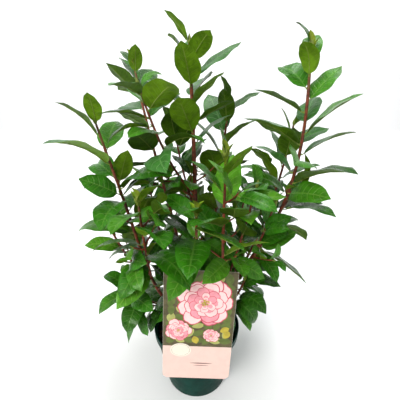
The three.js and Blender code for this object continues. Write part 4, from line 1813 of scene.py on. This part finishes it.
@dataclass
class Stems:
    """The bark of the trunk, the boughs and the twigs, with rings at the leaf scars and a slightly lumpy skin."""

    plant: Plant
    around: int = 14
    step: float = 2.6
    spur_around: int = 7
    spur_step: float = 5.5
    scar_step: float = 19
    sunk: float = 5
    collar: float = 0.3

    def build(self, dress: Dresser) -> list[bpy.types.Object]:
        """Makes the bare limbs as one piece and the leafy twigs as another.

        Args:
            dress: Gives the finishes.

        Returns:
            The two pieces.
        """
        bare, leafy = MeshStack(), MeshStack()
        for number, limb in enumerate(self.plant.limbs.values()):
            start = -self.sunk / limb.length if limb.foot[2] < 130 else 0.0
            self._tube(bare, limb, (start, limb.shoot.bare + 0.004), number, self.around, self.step)
            self._tube(leafy, limb, (limb.shoot.bare - 0.004, 1.0), number, self.around, self.step)
        for number, spur in enumerate(self.plant.spurs.values()):
            self._tube(leafy, spur, (0.0, 1.0), number, self.spur_around, self.spur_step)
        limbs = bare.piece("limbs_with_bark", [dress(Finishes.BARK), dress(Finishes.YOUNG_BARK)])
        twigs = leafy.piece("leafy_twigs", [dress(Finishes.BARK), dress(Finishes.YOUNG_BARK)])
        boughs = ["bough_" + name for name in self.plant.limbs if name != "middle"]
        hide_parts("trunk", *boughs)
        return [limbs, twigs]

    def _tube(
        self, stack: MeshStack, limb: Limb, stretch: tuple[float, float], seed: int, around: int, step: float
    ) -> None:
        """Adds a stretch of a limb, closed at both ends.

        Args:
            stack: Takes its points and faces.
            limb: The limb.
            stretch: The shares of its length from which and to which the stretch goes.
            seed: Moves its scars and its roughness.
            around: The number of points round it.
            step: The most from ring to ring.
        """
        count = max(4, math.ceil(limb.length * (stretch[1] - stretch[0]) / step))
        shares = np.linspace(stretch[0], stretch[1], count + 1)
        centres = np.array([limb.point(share) for share in shares])
        frames = [limb.frame(min(max(share, 0.0), 1.0)) for share in shares]
        sides = np.array([side for _, side, _ in frames])
        fronts = np.array([front for _, _, front in frames])
        radii = np.array([limb.radius(max(0.0, share)) for share in shares])
        reach = radii[:, None] * self._relief(limb, shares, seed, around)
        points = tube_points(centres, sides, fronts, reach, around)
        tips = np.repeat(shares[:-1] > 0.93, around)
        marks = np.concatenate([tips, np.full(around, shares[0] > 0.93), np.full(around, shares[-1] > 0.93)])
        turns = np.tile(np.arange(around) / around, count + 1)
        uv = np.stack([turns, np.repeat(shares, around)], -1)
        stack.add(points, tube_faces(count + 1, around), marks.astype(int), np.vstack([uv, [[0, 0], [0, 1]]]))

    def _relief(self, limb: Limb, shares: Vec, seed: int, around: int) -> Vec:
        """How much wider than its plain taper the bark stands, for each ring and each point round it.

        Args:
            limb: The limb.
            shares: The shares of its length at the rings.
            seed: Moves its scars and its roughness.
            around: The number of points round it.

        Returns:
            A factor for each ring and each point round it.
        """
        run = shares * limb.length
        turns = 2 * math.pi * np.arange(around) / around
        near = np.abs((run + 7 * seed) % self.scar_step - self.scar_step / 2)
        scars = 0.13 * np.exp(-((near / 1.7) ** 2))
        which = np.floor((run + 7 * seed) / self.scar_step)
        face = np.cos(turns[None, :] - np.radians(137.5) * which[:, None])
        scarred = scars[:, None] * (0.45 + 0.8 * np.clip(face, 0, 1))
        round_way = np.stack([np.cos(turns), np.sin(turns)], -1) * 2.2
        spots = np.concatenate(
            [np.repeat(run / 9, around)[:, None], np.tile(round_way, (len(run), 1))], axis=1
        )
        rough = wobble(spots, 1.6, seed + 21) * 0.035 + wobble(spots, 5.0, seed + 63) * 0.05
        low = self.collar * np.exp(-np.clip(run, 0, None) / 3.5) if limb.foot[2] > 130 else np.zeros(len(run))
        return 1 + scarred + rough.reshape(len(run), around) + low[:, None]


# ------------------------------------------------------------------------------------------ leaves and buds


@dataclass(frozen=True)
class BladeForm:
    """The shape of a blade beyond its outline."""

    steps: int = 12
    across: int = 4
    thickness: float = 0.5
    dome: float = 0.20
    curl: float = 0.10
    wave: float = 0.07
    twist: float = 12.0
    drip: float = 0.25
    drip_at: float = 0.93
    drip_span: float = 0.04


@dataclass
class Foliage:
    """Every leaf, stalk and bud of the plant, in pieces of one kind each."""

    plant: Plant
    form: BladeForm = field(default_factory=BladeForm)
    leaf_limit: int = 105
    stalk_sides: int = 5
    stalk_steps: int = 5
    # In millimetres, where the upper tints paint light: a painted sheen on leaves rooted higher than the first; painted
    # light on leaves rooted further forward than the third and higher than the second; painted shade on the low and
    # inner rest.
    painted_sheen_from: float = 430
    painted_shade_below: float = 265
    painted_light_before: float = -10
    growing: tuple[str, ...] = ("right", "front", "centre_low", "left_inner", "left_back")
    tuft_leaves: int = 4
    tuft_length: float = 25

    def __post_init__(self) -> None:
        """Works out the faces that every blade shares, and adds the young tufts to the leaves."""
        self.blade_faces, self.blade_marks = self._blade_faces()
        self.leaves = self.plant.leaves + list(self._tufts())

    def build(self, dress: Dresser) -> list[bpy.types.Object]:
        """Makes the pieces.

        Args:
            dress: Gives the finishes.

        Returns:
            The leaves in a few pieces, their stalks, and the buds.
        """
        tints = list(Tissue)
        materials = [dress(tint) for tint in tints]
        pieces = []
        for number, start in enumerate(range(0, len(self.leaves), self.leaf_limit)):
            stack = MeshStack()
            for leaf in self.leaves[start:start + self.leaf_limit]:
                self._blade(stack, leaf, tints)
            pieces.append(stack.piece(f"leaves_{number + 1}", materials))
        for piece in pieces:
            make_active(piece)
            bpy.ops.object.shade_smooth_by_angle(angle=math.radians(70))
        pieces.append(self._stalks(dress))
        pieces.append(self._buds(dress))
        masses = ["mass_" + name for name in self.plant.limbs]
        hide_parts(*masses)
        return pieces

    def _blade_faces(self) -> tuple[Vec, Vec]:
        """The faces of a blade: its upper points row by row, its lower inner points, then its base and its tip.

        Returns:
            The faces, by the numbers of their points, and for each 0 above and 1 beneath.
        """
        steps, across = self.form.steps, self.form.across
        width = across + 1
        rows = steps - 1
        upper = np.arange(rows * width).reshape(rows, width)
        lower = upper.copy()
        lower[:, 1:-1] = rows * width + np.arange(rows * (across - 1)).reshape(rows, across - 1)
        base = rows * width + rows * (across - 1)
        tip = base + 1

        def quads(grid: Vec, up: bool) -> Vec:
            """The faces between a grid's rows, seen from above or from below."""
            a, b, c, d = grid[:-1, :-1], grid[:-1, 1:], grid[1:, 1:], grid[1:, :-1]
            corners = (a, b, c, d) if up else (a, d, c, b)
            return np.stack([corner.ravel() for corner in corners], -1)

        def fan(row: Vec, point: int, up: bool) -> Vec:
            """The faces between a row and an end point."""
            first, second = (row[:-1], row[1:]) if up else (row[1:], row[:-1])
            ends = np.full(len(first), point)
            return np.stack([first, second, ends, ends], -1)

        above = [quads(upper, True), fan(upper[0], base, False), fan(upper[-1], tip, True)]
        beneath = [quads(lower, False), fan(lower[0], base, True), fan(lower[-1], tip, False)]
        faces = np.vstack(above + beneath)
        marks = np.concatenate([np.zeros(sum(map(len, above)), int), np.ones(sum(map(len, beneath)), int)])
        return faces, marks

    def _tints(self, leaf: Leaf, tints: list[Tissue]) -> tuple[int, int]:
        """The numbers of a leaf's tints, above and beneath, dealt out by its place on the shoot and in the crown, and
        by a draw. By place, the upper tints paint a sheen on the top leaves, light on the front leaves and shade on the
        low and inner ones.

        Args:
            leaf: The leaf.
            tints: The tints, in the order of their numbers.

        Returns:
            The two numbers.
        """
        if leaf.order > 1:
            return tints.index(Tissue.YOUNG), tints.index(Tissue.BENEATH_YOUNG)
        if leaf.root[2] > self.painted_sheen_from:
            # Top leaves: mostly the pale bluish tint, a painted sheen.
            choice = (Tissue.PAINTED_SHEEN, Tissue.MIDDLE, Tissue.PAINTED_SHEEN, Tissue.DARKER_AND_SHADED, Tissue.PALER_AND_LIT)
        elif leaf.root[1] < self.painted_light_before and leaf.root[2] > self.painted_shade_below:
            # Front leaves above the low ones: the lighter tints, painted light.
            choice = (Tissue.PALER_AND_LIT, Tissue.PAINTED_LIGHT, Tissue.MIDDLE, Tissue.PALER_AND_LIT, Tissue.MIDDLE)
        else:
            # Low and inner leaves: mostly the darker tint, painted shade.
            choice = (Tissue.DARKER_AND_SHADED, Tissue.MIDDLE, Tissue.MIDDLE, Tissue.DARKER_AND_SHADED, Tissue.PALER_AND_LIT)
        above = choice[int(leaf.draw * 5)]
        beneath = Tissue.BENEATH_DARK if (leaf.draw * 37) % 1 < 0.4 else Tissue.BENEATH
        return tints.index(above), tints.index(beneath)

    def _tufts(self) -> Iterator[Leaf]:
        """Gives the narrow rolled leaves that stand round the bud where a shoot is still growing.

        Returns:
            The young leaves.
        """
        for name in self.growing:
            limb = self.plant.limbs[name]
            along, side, front = limb.frame(1.0)
            for k in range(self.tuft_leaves):
                turn = math.radians(RULE.turn * k + 50)
                out = side * math.cos(turn) + front * math.sin(turn)
                lean = math.radians(10 + 8 * k)
                aim = unit(along * math.cos(lean) + out * math.sin(lean))
                face = unit(along - aim * float(along @ aim))
                length = self.tuft_length * (1.15 - 0.12 * k)
                yield Leaf(
                    limb=limb, share=0.985 - 0.006 * k, order=1.5,
                    root=limb.point(0.99 - 0.006 * k), aim=aim, face=face,
                    length=length, width=length * 0.5, arch=math.radians(30), fold=math.radians(42), draw=0.13 * k,
                )

    def _blade(self, stack: MeshStack, leaf: Leaf, tints: list[Tissue]) -> None:
        """Adds one blade, domed on each side of its midrib, waved, and curled at its margin.

        Args:
            stack: Takes its points and faces.
            leaf: The leaf.
            tints: The tints, in the order of their numbers.
        """
        form = self.form
        middles, faces, ways = leaf.line(form.steps)
        share = np.arange(form.steps + 1) / form.steps
        c = np.linspace(-1, 1, form.across + 1)
        half = blade_shape(share) * leaf.width / 2
        half = half * (1 - form.drip * np.exp(-(((share - form.drip_at) / form.drip_span) ** 2)))
        rim = np.minimum(1.0, half / 4)
        off = half[:, None] * c
        valley = np.sqrt(c ** 2 + 0.012) - 0.11
        lift = half[:, None] * valley * math.sin(leaf.fold)
        away = np.abs(c)
        lift = lift + form.dome * half[:, None] * away * (1 - away) * 1.6
        lift = lift - form.curl * half[:, None] * away ** 5
        phase = 6.28 * ((leaf.draw * 17) % 1)
        waves = np.sin(2 * math.pi * (2.2 * share[:, None]) + phase + 1.3 * np.sign(c)) * c ** 2
        lift = lift + form.wave * half[:, None] * waves
        twist = np.radians(form.twist * ((leaf.draw * 29) % 1 - 0.5) * 2) * share
        across = np.cos(twist)[:, None] * leaf.across + np.sin(twist)[:, None] * faces
        normal = -np.sin(twist)[:, None] * leaf.across + np.cos(twist)[:, None] * faces
        surface = (
            middles[:, None]
            + (off * math.cos(leaf.fold))[:, :, None] * across[:, None]
            + lift[:, :, None] * normal[:, None]
        )
        deep = form.thickness / 2 * (1 - away ** 4)[None, :, None] * rim[:, None, None] * normal[:, None]
        upper, lower = surface + deep, surface - deep
        points = np.vstack([
            upper[1:-1].reshape(-1, 3), lower[1:-1, 1:-1].reshape(-1, 3), middles[:1], middles[-1:]
        ])
        flat = np.stack(np.broadcast_arrays(share[:, None], (c + 1) / 2), -1)
        uv = np.vstack([flat[1:-1].reshape(-1, 2), flat[1:-1, 1:-1].reshape(-1, 2), [[0, 0.5], [1, 0.5]]])
        above, beneath = self._tints(leaf, tints)
        stack.add(points, self.blade_faces, np.where(self.blade_marks == 0, above, beneath), uv)

    def _stalks(self, dress: Dresser) -> bpy.types.Object:
        """Each leaf's stalk, from inside the twig, running on as the midrib to near its tip.

        Args:
            dress: Gives the finishes.

        Returns:
            The piece.
        """
        stack = MeshStack()
        ends = self.stalk_steps
        for leaf in self.leaves:
            middles, faces, ways = leaf.line(ends)
            thick = 0.35 + leaf.length / 130
            centres = [leaf.root, leaf.root + leaf.aim * 1.6]
            radii = [thick * 1.35, thick * 1.15]
            normals, alongs = [leaf.face, leaf.face], [leaf.aim, leaf.aim]
            for i in range(ends):
                share = i / ends
                radius = thick * (1 - share) ** 0.8 * (0.95 if i else 1.0) * 0.72 + 0.1
                centres.append(middles[i] - faces[i] * (radius * 0.42))
                radii.append(radius)
                normals.append(faces[i])
                alongs.append(ways[i])
            fronts = np.array([cross(way, face) for way, face in zip(alongs, normals)])
            points = tube_points(np.array(centres), np.array(normals), -fronts, np.array(radii), self.stalk_sides)
            stack.add(points, tube_faces(len(centres), self.stalk_sides))
        return stack.piece("leaf_stalks", [dress(Finishes.STALK)])

    def _buds(self, dress: Dresser) -> bpy.types.Object:
        """The pointed bud at each tip, in overlapping scales, and a small one in each leaf's axil.

        Args:
            dress: Gives the finishes.

        Returns:
            The piece.
        """
        stack = MeshStack()
        for number, limb in enumerate(self.plant.limbs.values()):
            along, side, front = limb.frame(1.0)
            swollen = 1.25 if limb.name in self.growing else 1.0
            foot = limb.point(1.0) - along
            self._bud(stack, foot, along, side, front, 14.0 * swollen, 2.6 * swollen, 5, number)
            for lean in (0.42, -0.38) if swollen > 1 else ():
                way = unit(along + side * lean + front * lean * 0.6)
                across = unit(cross(way, front))
                self._bud(stack, foot, way, across, cross(way, across), 12.5, 2.2, 4, number + 3)
        for number, spur in enumerate(self.plant.spurs.values()):
            along, side, front = spur.frame(1.0)
            self._bud(stack, spur.point(1.0) - along, along, side, front, 7.5, 1.5, 0, number)
        for leaf in self.plant.leaves:
            along, _, _ = leaf.limb.frame(leaf.share)
            away = unit(leaf.aim - along * float(leaf.aim @ along))
            way = unit(along * 0.85 + away * 0.5)
            start = leaf.root + away * leaf.limb.radius(leaf.share) * 0.6 + along * 1.0
            self._bud(stack, start, way, unit(cross(way, away)), unit(cross(way, cross(way, away))), 4.6, 1.0, 0, 0)
        return stack.piece("buds", [dress(Finishes.BUD_SCALE)])

    @staticmethod
    def _bud(
        stack: MeshStack, foot: Vec, along: Vec, side: Vec, front: Vec, length: float, radius: float, scales: int,
        seed: int,
    ) -> None:
        """Adds a bud.

        Args:
            stack: Takes its points and faces.
            foot: The middle of its base.
            along: The way that it points.
            side: A direction square to that.
            front: The direction square to both.
            length: Its length.
            radius: Its greatest radius.
            scales: The number of scales that wrap it.
            seed: Turns the scales.
        """
        sides, rings = (12, 12) if scales else (6, 5)
        share = np.linspace(0.0, 1.0, rings)
        plump = radius * np.sin(math.pi * np.clip(share, 0.04, 1) ** 0.62) ** 0.9
        plump[-1] = radius * 0.04
        plump[0] = radius * 0.55
        centres = foot + along * (share * length)[:, None]
        sides_way, fronts_way = np.tile(side, (rings, 1)), np.tile(front, (rings, 1))
        points = tube_points(centres, sides_way, fronts_way, plump, sides)
        stack.add(points, tube_faces(rings, sides))
        for k in range(scales):
            middle_turn = math.radians(137.5) * k + seed
            low, high = 0.02 + 0.12 * k, 0.62 + 0.08 * k
            steps, across = 7, 6
            s = np.linspace(low, high, steps + 1)
            t = np.linspace(-1, 1, across + 1)
            spread = 1.25 * (1 - ((s - low) / (high - low)) ** 2.4) + 0.04
            turn = middle_turn + spread[:, None] * t
            round_way = np.cos(turn)[:, :, None] * side + np.sin(turn)[:, :, None] * front
            outer = radius * np.sin(math.pi * np.clip(s, 0.04, 1) ** 0.62) ** 0.9 + 0.16
            base = foot + along * (s * length)[:, None]
            inner = base[:, None] + round_way * (outer - 0.3)[:, None, None]
            over = base[:, None] + round_way * (outer + 0.16 * (1 - 0.6 * (s - low)))[:, None, None]
            stack.add(np.vstack([inner.reshape(-1, 3), over.reshape(-1, 3)]), box_faces(across, steps))


# ------------------------------------------------------------------------------------------ studio


@dataclass
class Studio:
    """The plain pale floor, the soft lights and the camera."""

    floor_size: float = 10.0
    wall_height: float = 5.0
    sweep_radius: float = 1.0
    sweep_steps: int = 12
    lens: float = 24.12
    sensor: float = 36.0
    place: tuple[float, float, float] = (0.0, -0.424, 0.553)
    down: float = 20.5
    shift: float = 0.00875

    def build(self) -> None:
        """Lays the floor, hangs the lights and sets the camera."""
        self._floor()
        centre = (0.0, 0.0, 0.35)
        self._light("key", (-1.1, -1.7, 1.6), centre, 1.0, 52.0, (1.0, 0.99, 0.96))
        self._light("overhead", (0.2, 0.3, 2.5), centre, 1.2, 38.0, (0.96, 0.98, 1.0))
        self._light("fill", (1.7, -1.2, 1.0), centre, 1.8, 6.0, (1.0, 1.0, 1.0))
        for side, name in ((-2.4, "backdrop_left"), (2.4, "backdrop_right")):
            self._light(name, (side, 1.5, 3.5), (side, 5.2, 1.8), 3.0, 150.0, (1.0, 1.0, 1.0))
        world = bpy.data.worlds.new("soft_white_room")
        world.use_nodes = True
        world.node_tree.nodes["Background"].inputs["Color"].default_value = (0.96, 0.98, 1.0, 1.0)
        world.node_tree.nodes["Background"].inputs["Strength"].default_value = 0.45
        bpy.context.scene.world = world
        bpy.context.scene.view_settings.view_transform = "Standard"
        self._camera()

    def _floor(self) -> None:
        """Lays the floor, which turns up far behind the plant into a pale wall by a round sweep."""
        deselect_all()
        bpy.ops.mesh.primitive_plane_add(size=self.floor_size, location=(0, 0, 0))
        floor = bpy.context.object
        floor.name = floor.data.name = "studio_floor"
        floor.data.vertices.foreach_set("select", [vertex.co.y > 0 for vertex in floor.data.vertices])
        floor.data.edges.foreach_set(
            "select", [all(floor.data.vertices[v].co.y > 0 for v in edge.vertices) for edge in floor.data.edges]
        )
        floor.data.polygons.foreach_set("select", [False] * len(floor.data.polygons))
        bpy.ops.object.mode_set(mode="EDIT")
        bpy.ops.mesh.select_mode(type="EDGE")
        for step in range(1, self.sweep_steps + 1):
            last, now = (math.pi / 2 * k / self.sweep_steps for k in (step - 1, step))
            forward = self.sweep_radius * (math.sin(now) - math.sin(last))
            rise = self.sweep_radius * (math.cos(last) - math.cos(now))
            bpy.ops.mesh.extrude_region_move(TRANSFORM_OT_translate={"value": (0, forward, rise)})
        bpy.ops.mesh.extrude_region_move(TRANSFORM_OT_translate={"value": (0, 0, self.wall_height)})
        bpy.ops.object.mode_set(mode="OBJECT")
        bpy.ops.object.shade_smooth_by_angle(angle=math.radians(30))
        finish = Finish("studio_floor", (0.93, 0.93, 0.93, 1.0), 0.8)
        drift = finish.graph.noise(finish.where, 3.0, 2.0)
        finish.feed("Roughness", finish.graph.ranged(drift, 0.3, 0.7, 0.75, 0.85))
        floor.data.materials.append(finish.material)
        floor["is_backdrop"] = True

    @staticmethod
    def _light(
        name: str, place: tuple[float, float, float], aim: tuple[float, float, float], size: float, power: float,
        tint: tuple[float, float, float],
    ) -> None:
        """Hangs a square soft light.

        Args:
            name: Its name.
            place: Where it hangs, in metres.
            aim: The point that it looks at.
            size: The length of its side.
            power: Its power in watts.
            tint: Its colour.
        """
        data = bpy.data.lights.new(name, "AREA")
        data.shape = "SQUARE"
        data.size = size
        data.energy = power
        data.color = tint
        lamp = bpy.data.objects.new(name, data)
        bpy.context.collection.objects.link(lamp)
        lamp.location = place
        lamp.rotation_euler = (Vector(aim) - Vector(place)).to_track_quat("-Z", "Y").to_euler()

    def _camera(self) -> None:
        """Sets the camera in front of the plant, a little above it, looking down."""
        data = bpy.data.cameras.new("camera")
        data.sensor_width = self.sensor
        data.lens = self.lens
        data.shift_x = self.shift
        data.clip_start = 0.01
        camera = bpy.data.objects.new("camera", data)
        bpy.context.collection.objects.link(camera)
        camera.location = self.place
        camera.rotation_euler = (math.radians(90 - self.down), 0, 0)
        bpy.context.scene.camera = camera


# ------------------------------------------------------------------------------------------ assembly


def clear_of(pot: NurseryPot, card: PictureCard) -> Callable[[Vec], bool]:
    """Gives the test of whether points keep off the ground, the pot and the card.

    Args:
        pot: The pot.
        card: The card.

    Returns:
        The test.
    """
    room = RULE.clear_made

    def test(points: Vec) -> bool:
        """True where all the points are clear.

        Args:
            points: One row for each point.

        Returns:
            Whether all the points are clear.
        """
        if (points[:, 2] < RULE.clear_ground).any():
            return False
        near_pot = np.hypot(points[:, 0], points[:, 1]) < pot.rim_radius + room
        if (near_pot & (points[:, 2] < pot.height + room)).any():
            return False
        return card.clear(points, room)

    return test


def main() -> None:
    """Builds the sub-assemblies in order and reports each piece."""
    logging.basicConfig(level=logging.INFO, format="%(name)s: %(message)s")
    Studio().build()
    dress = Dresser()
    pot = NurseryPot()
    card = PictureCard(pot)
    plant = Plant(clear_of(pot, card), lambda points: card.uncovered(points, RULE.clear_made))
    plant.grow()
    log.info("%d leaves found room on the shoots", len(plant.leaves))
    plant.fill()
    log.info("%d leaves with those on %d spurs", len(plant.leaves), len(plant.spurs))
    for assembly in (pot, Compost(pot), card, Stems(plant), Foliage(plant)):
        for piece in assembly.build(dress):
            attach(piece, "root")
            triangles = sum(len(face.vertices) - 2 for face in piece.data.polygons)
            log.info("%s of %s: %d triangles", piece.name, type(assembly).__name__, triangles)
    boxes = {"cad": CAD_BOX, "visual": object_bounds()}
    plain = {name: [[float(value) for value in corner] for corner in box] for name, box in boxes.items()}


if __name__ == "__main__":
    main()
